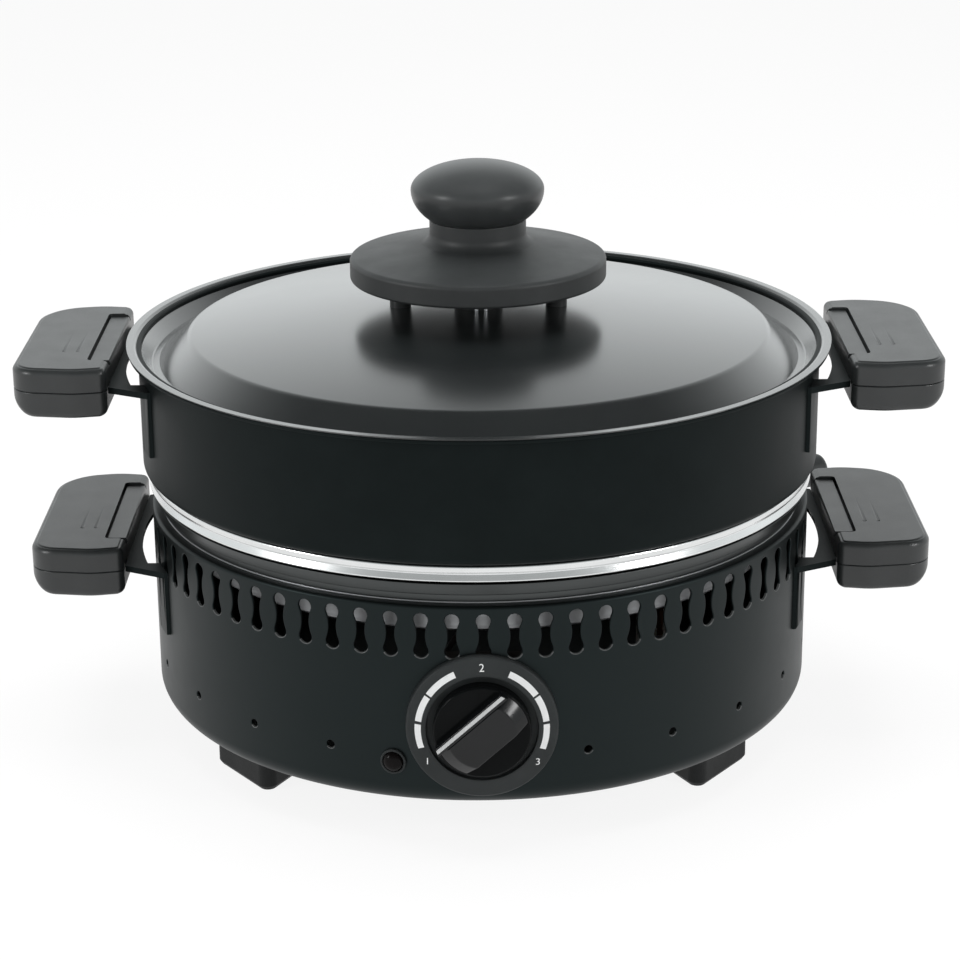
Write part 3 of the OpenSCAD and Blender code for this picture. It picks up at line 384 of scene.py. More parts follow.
def seat_on_wall(made, place):
    """Moves a mesh to its place; what has a height below zero is laid on the wall of the base."""
    for i, v in enumerate(made.verts):
        skin = math.sqrt(max(0.0, BASE_R ** 2 - v.x ** 2)) + WALL_GAP
        if v.z < 0:
            v = Vector((v.x, v.y, skin))
        made.verts[i] = place @ v
        made.normals[i] = place.to_3x3() @ made.normals[i]


# The base housing: a drawn sheet with punched slots and drain holes

BASE_Z0, BASE_Z1, BASE_R, SHEET = 18.5, 109.6, 151.6, 1.2
BASE_IN_R = BASE_R - SHEET
BASE_CORNER, BASE_BEAD, FLANGE_R, FLANGE_EDGE = 9.0, 1.5, 140.0, 0.3
SLOT_N, SLOT_FIRST, SLOT_Z = 73, 0.3, 96.4
SLOT_END_R, SLOT_END_Z, SLOT_WAIST = 3.1, 6.85, 1.7
GLAND_ANGLE, GLAND_Z, GLAND_HOLE_R, GLAND_KEEP = 116.0, 88.0, 6.55, 5.75
LAMP_ANGLE, LAMP_Z, LAMP_HOLE_R = -14.3, 38.5, 3.85
DIAL_Z, BUSH_HOLE_R, SCREW_HOLE_R, DIAL_SCREW_X = 57.0, 5.0, 2.15, 14.0
DRAIN_Z, DRAIN_R, DRAIN_N, DRAIN_PITCH = 42.0, 1.8, 8, 15.4
DRAIN_LEFT, DRAIN_RIGHT = 25.2, 17.2
# The third value: slot points whose normal points lower than this form the lower lip, which takes the painted
# highlight
LIP, BACK_LIP, LIP_HIGHLIGHT_BELOW = 0.45, 0.15, -0.45
LIP_TURNS = [(t, True) for t in (0, 25, 50, 70, 90)] + [(t, False) for t in (90, 45, 0)]
END_STEPS, WAIST_STEPS, ROUND_STEPS = 16, 8, 20
TALL_BAND, WALL_ROWS, HOLE_MARGIN, WALL_GAP, FLAT_WELD = 40, 20, 0.6, 0.05, 1e-5


def slot_outline():
    """Points (s, z) and normals of a waisted slot; the normals point into the sheet."""
    waist_r = (SLOT_WAIST ** 2 + SLOT_END_Z ** 2 - SLOT_END_R ** 2) / (2 * (SLOT_END_R - SLOT_WAIST))
    far = SLOT_WAIST + waist_r
    lean = math.atan2(SLOT_END_Z, far)
    out = []
    for sign in (1, -1):
        for k in range(END_STEPS + 1):
            t = -lean + (math.pi + 2 * lean) * k / END_STEPS
            ray = Vector((math.cos(t), math.sin(t))) * sign
            out.append((Vector((0, SLOT_END_Z * sign)) + ray * SLOT_END_R, ray))
        for k in range(1, WAIST_STEPS):
            t = lean - 2 * lean * k / WAIST_STEPS
            ray = Vector((math.cos(t), math.sin(t))) * sign
            out.append((Vector((-far * sign, 0)) + ray * waist_r, -ray))
    return out


def round_outline(r):
    turns = [2 * math.pi * k / ROUND_STEPS for k in range(ROUND_STEPS)]
    rays = [Vector((math.cos(t), math.sin(t))) for t in turns]
    return [(ray * r, ray) for ray in rays]


def wall_holes():
    """All holes of the wall as (angle from the front in degrees, height, outline)."""
    holes = []
    slot = slot_outline()
    for i in range(SLOT_N):
        a = (SLOT_FIRST + i * 360 / SLOT_N + 180) % 360 - 180
        if abs(a - GLAND_ANGLE) > GLAND_KEEP:
            holes.append((a, SLOT_Z, slot))
    drain = round_outline(DRAIN_R)
    for i in range(DRAIN_N):
        holes.append((-DRAIN_LEFT - i * DRAIN_PITCH, DRAIN_Z, drain))
        holes.append((DRAIN_RIGHT + i * DRAIN_PITCH, DRAIN_Z, drain))
    screw_a = math.degrees(math.asin(DIAL_SCREW_X / BASE_R))
    holes.append((LAMP_ANGLE, LAMP_Z, round_outline(LAMP_HOLE_R)))
    holes.append((GLAND_ANGLE, GLAND_Z, round_outline(GLAND_HOLE_R)))
    holes.append((0, DIAL_Z, round_outline(BUSH_HOLE_R)))
    holes.append((-screw_a, DIAL_Z, round_outline(SCREW_HOLE_R)))
    holes.append((screw_a, DIAL_Z, round_outline(SCREW_HOLE_R)))
    return holes


def hole_rows(made, a, z, shape):
    """Rings of (vertex, angle, height) round a hole, from its outer lip to its inner one."""
    rows = []
    for t, front in LIP_TURNS:
        flat, steep = math.cos(math.radians(t)), math.sin(math.radians(t))
        lip = LIP if front else BACK_LIP
        grow = lip * (1 - steep)
        sunk = lip * (1 - flat)
        r = BASE_R - sunk if front else BASE_IN_R + sunk
        face = flat * (1 if front else -1)
        row = []
        for p, m in shape:
            q = p + m * grow
            turn = math.radians(a) + q.x / BASE_R
            out = turned_out(1, turn, 0)
            along = Vector((math.cos(turn), math.sin(turn), 0))
            side = -steep * (along * m.x + Vector((0, 0, m.y)))
            vertex = made.add(turned_out(r, turn, z + q.y), (out * face + side).normalized())
            row.append((vertex, turn, z + q.y))
        rows.append(row)
    return rows


def line_hole(made, rows, shape):
    """Faces between the rings of a hole; those at its lower end, which face up, are noted for a painted highlight.
    """
    n = len(shape)
    for one, two in zip(rows, rows[1:]):
        for k in range(n):
            j = (k + 1) % n
            if shape[k][1].y < LIP_HIGHLIGHT_BELOW:
                made.highlit_lips.append(len(made.faces))
            made.faces.append([one[k][0], one[j][0], two[j][0], two[k][0]])


def base_housing():
    """Wall and floor in one sheet; each hole has a rounded lip outside and inside."""
    made = Body()
    outline = rounded([
        (0, BASE_Z0, 0), (BASE_R, BASE_Z0, BASE_CORNER), (BASE_R, BASE_Z1, BASE_BEAD),
        (FLANGE_R, BASE_Z1, FLANGE_EDGE), (FLANGE_R, BASE_Z1 - SHEET, FLANGE_EDGE),
        (BASE_IN_R, BASE_Z1 - SHEET, BASE_BEAD - SHEET), (BASE_IN_R, BASE_Z0 + SHEET, BASE_CORNER - SHEET),
        (0, BASE_Z0 + SHEET, 0)
    ], 10)
    rings = [made.ring(p, n) for p, n in outline]
    walls = []
    for i in range(len(rings) - 1):
        p, q = outline[i][0], outline[i + 1][0]
        if abs(p.x - q.x) < AXIS_R and abs(p.y - q.y) > TALL_BAND:
            walls.append((rings[i], rings[i + 1], p.x, p.y, q.y))
        else:
            made.band(rings[i], rings[i + 1])
    loops = {True: [], False: []}
    for a, z, shape in wall_holes():
        rows = hole_rows(made, a, z, shape)
        line_hole(made, rows, shape)
        loops[True].append(rows[0])
        loops[False].append(rows[-1])
    for low, high, r, z0, z1 in walls:
        outside = z0 < z1
        fill_wall(made, low, high, r, z0, z1, loops[outside], outside)
    piece = make_piece("base_shell", made, "base_coat", "base", ["base_housing", "base_floor"])
    # The lower lips of the slots take a lighter grey: a painted highlight
    piece.data.materials.append(MATERIALS["lip_highlight"])
    for i in made.highlit_lips:
        piece.data.polygons[i].material_index = 1


def fill_wall(made, low, high, r, z0, z1, loops, outside):
    """Fills a cylinder between two rings, round the loops of its holes, from a flat triangulation."""
    points, index, edges = [], [], []
    facing = 1 if outside else -1

    def put(a, z, i):
        points.append(Vector((a * r, z)))
        index.append(i)
        return len(points) - 1

    def chain(ids, closed=False):
        edges.extend(zip(ids, ids[1:]))
        if closed:
            edges.append((ids[-1], ids[0]))

    def wrapped(a):
        return (a - SEAM) % (2 * math.pi)

    heights = [z0 + (z1 - z0) * j / WALL_ROWS for j in range(1, WALL_ROWS)]
    turns = [2 * math.pi * k / STEPS for k in range(STEPS + 1)]
    for z, ring in ((z0, low), (z1, high)):
        chain([put(a, z, ring[k % STEPS]) for k, a in enumerate(turns)])
    seam = [made.add(turned_out(r, SEAM, z), turned_out(facing, SEAM, 0)) for z in heights]
    for column in (0, STEPS):
        ids = [put(turns[column], z, i) for z, i in zip(heights, seam)]
        chain([column, *ids, STEPS + 1 + column])
    boxes, owner, outlines = [], {}, []
    for loop in loops:
        ids = [put(wrapped(a), z, i) for i, a, z in loop]
        chain(ids, True)
        owner.update((i, len(outlines)) for i in ids)
        outlines.append([points[i] for i in ids])
        wide = [wrapped(a) * r for i, a, z in loop]
        tall = [z for i, a, z in loop]
        boxes.append((
            min(wide) - HOLE_MARGIN, max(wide) + HOLE_MARGIN, min(tall) - HOLE_MARGIN, max(tall) + HOLE_MARGIN))
    for k in range(1, STEPS):
        s = turns[k] * r
        for z in heights:
            if any(b[0] < s < b[1] and b[2] < z < b[3] for b in boxes):
                continue
            turn = wall_angle(k)
            put(turns[k], z, made.add(turned_out(r, turn, z), turned_out(facing, turn, 0)))
    found = delaunay_2d_cdt(points, edges, [], 0, FLAT_WELD)
    for face in found[2]:
        source = [found[3][v][0] for v in face]
        rings = {owner.get(i) for i in source}
        if len(rings) == 1 and None not in rings:
            middle = sum((points[i] for i in source), Vector((0, 0))) / len(source)
            if inside(middle, outlines[rings.pop()]):
                continue
        ids = [index[i] for i in source]
        made.faces.append(ids if outside else ids[::-1])


def inside(p, outline):
    """Whether a point lies in a closed outline."""
    hit = False
    for a, b in zip(outline, outline[1:] + outline[:1]):
        if (a.y > p.y) != (b.y > p.y) and p.x < a.x + (p.y - a.y) * (b.x - a.x) / (b.y - a.y):
            hit = not hit
    return hit


# Grips

GRIP_T, GRIP_MID, PARTING, PARTING_RISE, PARTING_EDGE = 22.3, -10.75, 0.05, 0.4, 0.3
UPPER_EDGE, LOWER_EDGE, GRIP_SHARP = 0.2, 0.3, 40
GRIP_AT = {"pan": (164.0, 183.7), "base": (160.8, 99.5)}
GRIP_PLAN = [
    (0, -52.3, 4), (14, -55.0, 30), (42.45, -51.0, 13), (42.45, 49.6, 23), (14, 55.0, 30), (0, 52.3, 4)
]
TOP_R, LINE_AT, LINE_WIDE, LINE_DEEP = 3.2, 68.0, 7.0, 0.28
POCKET_X, POCKET_Y, POCKET_Z, TRENCH, TRENCH_END, TRENCH_Z = 9.8, 38.5, -1.3, 1.0, 4.0, -3.4
OPEN_X, OPEN_CORNER, POCKET_CORNER, TRENCH_CORNER = -6, 0.4, 2.2, 1.3
POCKET = [
    (OPEN_X, -POCKET_Y, OPEN_CORNER), (POCKET_X, -POCKET_Y, POCKET_CORNER), (POCKET_X, POCKET_Y, POCKET_CORNER),
    (OPEN_X, POCKET_Y, OPEN_CORNER)
]
TRENCH_EDGE = POCKET + [
    (OPEN_X, POCKET_Y - TRENCH, OPEN_CORNER), (POCKET_X - TRENCH, POCKET_Y - TRENCH, TRENCH_CORNER),
    (POCKET_X - TRENCH, TRENCH_END - POCKET_Y, TRENCH_CORNER), (OPEN_X, TRENCH_END - POCKET_Y, OPEN_CORNER)
]
GROOVES, GROOVE_Y, GROOVE_END, GROOVE_HALF = (15.6, 21.8), -24.0, 20.0, 0.75
GROOVE_DEEP, GROOVE_OUT, GROOVE_SLOPE = -0.55, 0.1, 0.3
GROOVE_DOT_R, GROOVE_DOT_Z, ABOVE_GRIP, BELOW_GRIP = 0.9, -2.0, 6, 2
# Rounding of the underside at the ends, at the outer side, and what the inner side adds to the ends
BELLY_WIDE, BELLY_TALL = (2.2, 10.0, 1.3), (3.0, 8.5, 0.5)
TONGUE_X0, TONGUE_X1, TONGUE_Y, TONGUE_Z = -2, 30.5, 40.3, 1.25
GRIP_SCREW_X, GRIP_SCREW_Y, GRIP_HEAD_R, GRIP_STEM_R, GRIP_HEAD_DEEP = 15, 24, 4.0, 2.15, 5


def solid_from_rings(rings):
    """A closed bmesh from loops of equal length, capped at both ends."""
    bm = bmesh.new()
    loops = [[bm.verts.new(v) for v in ring] for ring in rings]
    for one, two in zip(loops, loops[1:]):
        n = len(one)
        for k in range(n):
            j = (k + 1) % n
            bm.faces.new([one[k], one[j], two[j], two[k]])
    bm.faces.new(loops[0][::-1])
    bm.faces.new(loops[-1])
    return bm


def to_object(name, bm):
    """An object from a bmesh, with its faces turned outward and smooth."""
    mesh = bpy.data.meshes.new(name)
    bmesh.ops.recalc_face_normals(bm, faces=bm.faces)
    bm.to_mesh(mesh)
    bm.free()
    mesh.polygons.foreach_set("use_smooth", [True] * len(mesh.polygons))
    thing = bpy.data.objects.new(name, mesh)
    scene.collection.objects.link(thing)
    return thing


def cut(thing, cutters, edge, angle):
    """The mesh of a thing less its cutters, with the edges sharper than the angle rounded."""
    for i, cutter in enumerate(cutters):
        take = thing.modifiers.new(f"cut_{i}", "BOOLEAN")
        take.operation = "DIFFERENCE"
        take.solver = "EXACT"
        take.object = cutter
    soft = thing.modifiers.new("soft", "BEVEL")
    soft.width = edge
    soft.segments = EDGE_SEGMENTS
    soft.limit_method = "ANGLE"
    soft.angle_limit = math.radians(angle)
    even = thing.modifiers.new("even", "WEIGHTED_NORMAL")
    even.weight = 100
    bpy.context.view_layer.update()
    seen = thing.evaluated_get(bpy.context.evaluated_depsgraph_get())
    mesh = bpy.data.meshes.new_from_object(seen)
    mesh.polygons.foreach_set("use_smooth", [True] * len(mesh.polygons))
    for old in [thing, *cutters]:
        data = old.data
        bpy.data.objects.remove(old)
        bpy.data.meshes.remove(data)
    return mesh


def box_cutter(name, low, high):
    bm = bmesh.new()
    bmesh.ops.create_cube(bm, size=1)
    for v in bm.verts:
        v.co = Vector([MM * (low[k] + (high[k] - low[k]) * (v.co[k] + 0.5)) for k in range(3)])
    return to_object(name, bm)


def prism_cutter(name, outline, z0, z1):
    """An upright cutter from flat points, between two heights."""
    return to_object(name, solid_from_rings([[MM * Vector((x, y, z)) for x, y in outline] for z in (z0, z1)]))


def pillar_cutter(name, x, y, z0, z1, r, n=32):
    turns = [2 * math.pi * k / n for k in range(n)]
    return prism_cutter(name, [(x + r * math.cos(t), y + r * math.sin(t)) for t in turns], z0, z1)


def outline_cutter(name, corners, z0):
    return prism_cutter(name, [p for p, n in rounded(corners, 6)], z0, ABOVE_GRIP)


def mirrored(corners, side):
    return [(x * side, y, r) for x, y, r in corners]


def grip_half(upper, side):
    """Half of a grip, for the right side (1) or the left side (-1)."""
    outline = rounded(mirrored(GRIP_PLAN, side), 12)
    rings = []

    def ring(place):
        rings.append([MM * Vector(place(p, n)) for p, n in outline])

    def level(z, inset):
        ring(lambda p, n: (p.x - n.x * inset, p.y - n.y * inset, z))

    def belly(t):
        """A ring of the rounded underside, which is fuller at the outer side."""
        def place(p, n):
            share = max(0.0, n.x * side) ** 3
            back = max(0.0, -n.x * side)
            wide, tall = (
                low + (high - low) * share + more * back for low, high, more in (BELLY_WIDE, BELLY_TALL))
            inset = wide * (1 - math.cos(math.radians(t)))
            z = -GRIP_T + tall * (1 - math.sin(math.radians(t)))
            return (p.x - n.x * inset, p.y - n.y * inset, z)
        ring(place)

    if upper:
        level(GRIP_MID + PARTING, PARTING_EDGE)
        level(GRIP_MID + PARTING_RISE, 0.0)
        for t in range(0, 91, 5):
            line = LINE_DEEP * math.exp(-((t - LINE_AT) / LINE_WIDE) ** 2)
            out, rise = math.cos(math.radians(t)), math.sin(math.radians(t))
            level((TOP_R - line) * rise - TOP_R, TOP_R - (TOP_R - line) * out)
    else:
        for t in range(90, -1, -9):
            belly(t)
        level(GRIP_MID - PARTING_RISE, 0.0)
        level(GRIP_MID - PARTING, PARTING_EDGE)
    thing = to_object("grip_half", solid_from_rings(rings))
    x0, x1 = sorted((TONGUE_X0 * side, TONGUE_X1 * side))
    cutters = [box_cutter("tongue", (x0, -TONGUE_Y, GRIP_MID - TONGUE_Z), (x1, TONGUE_Y, GRIP_MID + TONGUE_Z))]
    if upper:
        cutters.append(outline_cutter("trench", mirrored(TRENCH_EDGE, side), TRENCH_Z))
        cutters.append(outline_cutter("pocket", mirrored(POCKET, side), POCKET_Z))
        for i, x in enumerate(GROOVES):
            cutters.append(groove_cutter(f"groove_{i}", x * side))
            cutters.append(pillar_cutter(
                f"groove_end_{i}", x * side, GROOVE_Y, GROOVE_DOT_Z, ABOVE_GRIP, GROOVE_DOT_R, 16))
    else:
        below = -GRIP_T - BELOW_GRIP
        for i, y in enumerate((-GRIP_SCREW_Y, GRIP_SCREW_Y)):
            x = GRIP_SCREW_X * side
            cutters.append(pillar_cutter(f"head_{i}", x, y, below, GRIP_HEAD_DEEP - GRIP_T, GRIP_HEAD_R))
            cutters.append(pillar_cutter(f"stem_{i}", x, y, below, 0, GRIP_STEM_R))
    return cut(thing, cutters, MM * (UPPER_EDGE if upper else LOWER_EDGE), GRIP_SHARP)


def groove_cutter(name, x):
    """A groove that runs out towards the back."""
    low, high = x - GROOVE_HALF, x + GROOVE_HALF
    rings = []
    for y, z in ((GROOVE_Y, GROOVE_DEEP), (GROOVE_END, GROOVE_OUT)):
        edge = z + GROOVE_SLOPE
        line = ((low, ABOVE_GRIP), (low, edge), (x, z), (high, edge), (high, ABOVE_GRIP))
        rings.append([MM * Vector((at, y, tall)) for at, tall in line])
    return to_object(name, solid_from_rings(rings))


def grips():
    for upper, word in ((True, "upper"), (False, "lower")):
        for side, hand in ((-1, "left"), (1, "right")):
            mesh = grip_half(upper, side)
            for body, (x, z) in GRIP_AT.items():
                node = f"{body}_grip_{word}_{hand}"
                piece = place_piece(f"{node}_moulding", mesh.copy(), "grip_black", body, [node])
                piece.data.transform(Matrix.Translation(Vector((x * side, 0, z)) * MM))
            bpy.data.meshes.remove(mesh)


# Rim ring, dish, pan, lid, guard and knob, turned from corners (radius, height, rounding)

RIM_BAND = [
    (151.3, 120.4, 0.3), (152.6, 121.2, 0.5), (151.2, 124.2, 0.5), (152.6, 125.2, 1.3), (152.4, 127.6, 1.3),
    (150.6, 128.4, 0.6), (147.0, 128.4, 0.3), (147.0, 127.2, 0.3), (149.9, 127.2, 0.2), (149.9, 122.0, 0.2),
    (149.9, 120.8, 0.2)
]
RIM_SKIRT = [
    (140.0, 110.4, 0.2), (146.8, 110.4, 0.3), (146.8, 113.3, 0.4), (149.3, 114.2, 0.4), (151.45, 119.45, 0.2),
    (150.3, 119.85, 0.2), (148.4, 115.2, 0.2), (145.6, 114.3, 0.4), (145.6, 111.6, 0.2), (140.0, 111.6, 0.2)
]


def rim_ring():
    lathe("rim_band", RIM_BAND, "bright_ring", "base", ["rim_ring"], 8)
    # The skirt is the same steel ring as the band, given the darkened copy as painted shade
    lathe("rim_skirt", RIM_SKIRT, "dark_ring", "base", ["rim_ring"], 6)


DISH_R, DISH_Z, DISH_T, DISH_RIM_R, DISH_RIM_Z0, DISH_RIM_Z1 = 139.5, 94.0, 0.8, 147.2, 109.6, 110.35
DISH_BEAD = [(52.0, 0), (54.0, 0.5), (58.0, 0.5), (60.0, 0)]


def reflector_dish():
    """A flat dish with a raised bead and a rim that lies on the flange of the base."""
    under = [(0, DISH_Z, 0)] + [(r, DISH_Z + rise, 1.0) for r, rise in DISH_BEAD]
    rim = [
        (DISH_R, DISH_Z, 1.4), (DISH_R, DISH_RIM_Z0, 0.4), (DISH_RIM_R, DISH_RIM_Z0, 0.2),
        (DISH_RIM_R, DISH_RIM_Z1, 0.2), (DISH_R - DISH_T, DISH_RIM_Z1, 0.4), (DISH_R - DISH_T, DISH_Z + DISH_T, 0.8)
    ]
    over = [(r, z + DISH_T, fillet) for r, z, fillet in reversed(under)]
    lathe("dish_sheet", under + rim + over, "reflector", "base", ["reflector_dish"], 6)


PAN_R, PAN_T, PAN_RIM_R, PAN_RIM_T, PAN_TOP = 154.8, 1.6, 159.4, 1.4, 184.1
WELL_R, WELL_Z, STEP_Z = 146.2, 120.4, 128.4


def pan_shell():
    """A pan whose sunk well stands in the ring; a step lies on the ring."""
    lathe("pan_bowl", [
        (0, WELL_Z, 0), (WELL_R, WELL_Z, 3), (WELL_R, STEP_Z, 0.6), (PAN_R, STEP_Z, 3),
        (PAN_R, PAN_TOP - PAN_RIM_T, 0.6), (PAN_RIM_R, PAN_TOP - PAN_RIM_T, 0.5), (PAN_RIM_R, PAN_TOP, 0.5),
        (PAN_R - PAN_T, PAN_TOP, 1.2), (PAN_R - PAN_T, STEP_Z + PAN_T, 1.4), (WELL_R - PAN_T, STEP_Z + PAN_T, 1),
        (WELL_R - PAN_T, WELL_Z + PAN_T, 2), (0, WELL_Z + PAN_T, 0)
    ], "black_coat", "pan", ["pan_shell"], 10)


LID_TOP, LID_CROWN_Z, LID_SEAT_R, LID_T, LID_EDGE = 192.8, 197.3, 11.1, 1.0, 0.2
PLATEAU_R, PLATEAU_Z, CROWN_STEPS, CROWN_EDGE = 131.5, 187.8, 24, 0.3
BOLT_HOLE_R = 3.2
LID_BRIM = [
    (PLATEAU_R, PLATEAU_Z, 5.0), (145.1, 176.0, 1.2), (148.6, 176.0, 1.2), (156.0, 184.95, 1.8),
    (160.0, 185.0, 0.12)
]
LID_UNDER_RIM = (159.3, 184.15, LID_EDGE)


def crown(top, edge):
    """The domed middle of the lid, from the foot of the guard to the edge of the plateau."""
    run = [(LID_SEAT_R, top, edge)]
    for i in range(1, CROWN_STEPS):
        share = i / CROWN_STEPS
        r = LID_SEAT_R + (PLATEAU_R - LID_SEAT_R) * share
        run.append((r, top - (top - PLATEAU_Z) * share ** 2, 0))
    return run


def lid_shell():
    """The lid, with a crown that is fuller above than below."""
    hole = (BOLT_HOLE_R, LID_TOP, LID_EDGE)
    above = [hole, (LID_SEAT_R, LID_TOP, 0)] + crown(LID_CROWN_Z, CROWN_EDGE) + LID_BRIM
    below = [hole] + crown(LID_TOP, 0) + LID_BRIM
    under = [(r, z - LID_T, max(LID_EDGE, fillet) if fillet else 0) for r, z, fillet in reversed(below)]
    under[0] = LID_UNDER_RIM
    lathe("lid_sheet", above + under, "lid_coat", "lid", ["lid_shell"], 10)


HUB_R, GUARD_R, GUARD_Z0, GUARD_Z1 = 11, 58, 210.5, 220.5
NECK_R, NECK_Z0, NECK_Z1 = 21.8, 227.3, 237.5


def heat_guard():
    lathe("guard_disc", [
        (BOLT_HOLE_R, LID_TOP, 0.3), (HUB_R, LID_TOP, 0.4), (HUB_R, GUARD_Z0, 1.5), (GUARD_R, GUARD_Z0, 1.4),
        (GUARD_R, GUARD_Z1, 2.2), (NECK_R, NECK_Z0, 5), (NECK_R, NECK_Z1, 0.5), (BOLT_HOLE_R, NECK_Z1, 0.3)
    ], "moulded_black", "lid", ["heat_guard"], 10)


GUARD_PINS = {"guard_pin_left": -0.9, "guard_pin_right": 3.3}
PIN_R, PIN_LOW, PIN_TOP, PIN_Y, PIN_EDGE = 0.85, 196.0, 211.5, -11.2, 0.2


def guard_pins():
    """Two thin bright pins in front of the hub, from the disc down to the lid."""
    line = [(0, PIN_LOW, 0), (PIN_R, PIN_LOW, PIN_EDGE), (PIN_R, PIN_TOP, PIN_EDGE), (0, PIN_TOP, 0)]
    for name, x in GUARD_PINS.items():
        made = turn_outline(rounded(line, 4))
        made.verts = [v + Vector((x, PIN_Y, 0)) for v in made.verts]
        make_piece(name, made, "zinc_plate", "lid", ["heat_guard"])


KNOB_R, KNOB_LOW, KNOB_RISE, KNOB_MID, KNOB_STEPS = 30.0, 19.36, 12.5, 250.8, 48
KNOB_BORE_R, KNOB_INSET, KNOB_EDGE = 6.5, 0.4, 0.3
INSERT_R, INSERT_RISE, INSERT_TOP = 5.23, 0.6, 252.0


def lid_knob():
    """A ball, flatter above its middle than below it, with the bore for its insert."""
    start = -math.acos(NECK_R / KNOB_R)
    line = [(KNOB_BORE_R, NECK_Z1, KNOB_EDGE), (NECK_R - KNOB_INSET, NECK_Z1, KNOB_EDGE)]
    for i in range(1, KNOB_STEPS):
        t = start + (math.pi / 2 - start) * i / KNOB_STEPS
        line.append((KNOB_R * math.cos(t), KNOB_MID + (KNOB_LOW if t < 0 else KNOB_RISE) * math.sin(t), 0))
    line += [(0, KNOB_MID + KNOB_RISE, 0), (0, INSERT_TOP, 0)]
    line += [(INSERT_R, INSERT_TOP, KNOB_EDGE), (INSERT_R, NECK_Z1 + INSERT_RISE, KNOB_EDGE)]
    lathe("lid_knob_ball", line, "knob_black", "lid", ["lid_knob"], 6)


# The dial, its print and the indicator

BEZEL_R, FACE_R, FACE_D, FACE_FALL = 32.0, 24.5, 156.4, 0.27
RECESS_R, RECESS_D, SHAFT_HOLE_R = 23.5, 153.6, 5
# A height below zero lays a corner on the wall; the bezel's back is bent to it at these radii
ON_WALL = -1
BACK_RADII = (SHAFT_HOLE_R, 12, 18, 24, 28, BEZEL_R)
POINTER_ANGLE = math.radians(222)
PRINT_T, PRINT_SUNK = 0.06, -0.02
ARC_IN, ARC_OUT, ARC_STEP, ARC_PARTS = 25.6, 28.2, 2.5, 6
ARCS = {
    "left": ((114.6, 145.5), (147.5, 172.5), (175.3, 198.5)),
    "right": ((65, 33.5), (31.5, 6.5), (3.8, -20.5)),
}
NUMBER_SIZE, LETTER_WELD = 4.6, 1e-4
NUMBERS = {"1": (-23.0, -14.9), "2": (0.0, 27.2), "3": (23.2, -15.6)}


def face_d(r):
    """Distance of the bezel's sloping face from the axis of the roaster, at a radius of the dial."""
    return FACE_D - max(0.0, r - FACE_R) * FACE_FALL


def dial_bezel():
    backs = [(r, ON_WALL, 0) for r in BACK_RADII]
    lathe("dial_bezel_ring", backs + [
        (BEZEL_R, face_d(BEZEL_R), 1.4), (FACE_R, FACE_D, 0.6), (RECESS_R, FACE_D, 0.3), (RECESS_R, RECESS_D, 0.4),
        (SHAFT_HOLE_R, RECESS_D, 0)
    ], "bezel_black", "base", ["dial_bezel"], 6, at_wall(0, DIAL_Z))


DIAL_DISC = [
    (0, 158.6, 0), (3.1, 158.6, 0.2), (3.1, 153.9, 0.2), (6.2, 153.9, 0.2), (6.2, 157.5, 0.4), (18.3, 157.5, 0.6),
    (18.3, 153.9, 0.2), (20.5, 153.9, 0.4), (20.5, 160.4, 1.2), (0, 160.4, 0)
]
# Lower and upper end of each rib of the dial: from line to line along the pointer, radius, distance
BAR = (-5.8, 9.6, 19.9, 160.2), (-5.4, 9.2, 14.2, 164.6)
FIN = (-9.0, -5.6, 20.2, 160.0), (-9.0, -5.6, 20.2, 164.85)
POINTER = (-8.4, -6.8, 20.0, 164.8), (-8.4, -6.8, 20.0, 164.97)
BAR_EDGE, FIN_EDGE, POINTER_EDGE, RIB_SHARP, STRIP_STEPS = 0.6, 0.3, 0.04, 30, 10


def dial_disc():
    lathe("dial_knob_disc", DIAL_DISC, "disc_black", "dial", ["dial_knob"], 6, at_wall(0, DIAL_Z))


def strip(y0, y1, r, d):
    """A strip across the dial, between two lines along the pointer and within a radius, at a distance."""
    lines = [y0 + (y1 - y0) * i / STRIP_STEPS for i in range(STRIP_STEPS + 1)]
    lean = [math.asin(y / r) for y in lines]
    ends = [(r * math.cos(t), r * math.sin(t), d) for t in lean]
    return [MM * Vector(p) for p in ends + [(-x, y, z) for x, y, z in reversed(ends)]]


def dial_rib(name, ends, material, replaced, edge):
    """A rib of the dial between two strips, turned to the pointer's angle."""
    thing = to_object(name, solid_from_rings([strip(*end) for end in ends]))
    mesh = cut(thing, [], edge * MM, RIB_SHARP)
    place = at_wall(0, DIAL_Z)
    place.translation *= MM
    mesh.transform(place @ Matrix.Rotation(POINTER_ANGLE, 4, "Z"))
    place_piece(name, mesh, material, "dial", replaced)


def dial_knob():
    dial_disc()
    dial_rib("dial_knob_bar", BAR, "gloss_black", ["dial_knob"], BAR_EDGE)
    dial_rib("dial_knob_fin", FIN, "gloss_black", ["dial_knob"], FIN_EDGE)
    dial_rib("dial_line", POINTER, "pointer_white", ["dial_pointer"], POINTER_EDGE)


def lay_on_dial(name, verts, faces):
    """A print on the bezel's face from flat points (x, y, height) and faces."""
    place = at_wall(0, DIAL_Z)
    bm = bmesh.new()
    points = []
    for x, y, height in verts:
        points.append(bm.verts.new(MM * (place @ Vector((x, y, face_d(math.hypot(x, y)) + height)))))
    for face in faces:
        bm.faces.new([points[i] for i in face])
    bmesh.ops.recalc_face_normals(bm, faces=bm.faces)
    mesh = bpy.data.meshes.new(name)
    bm.to_mesh(mesh)
    bm.free()
    place_piece(name, mesh, "white_line", "base", ())


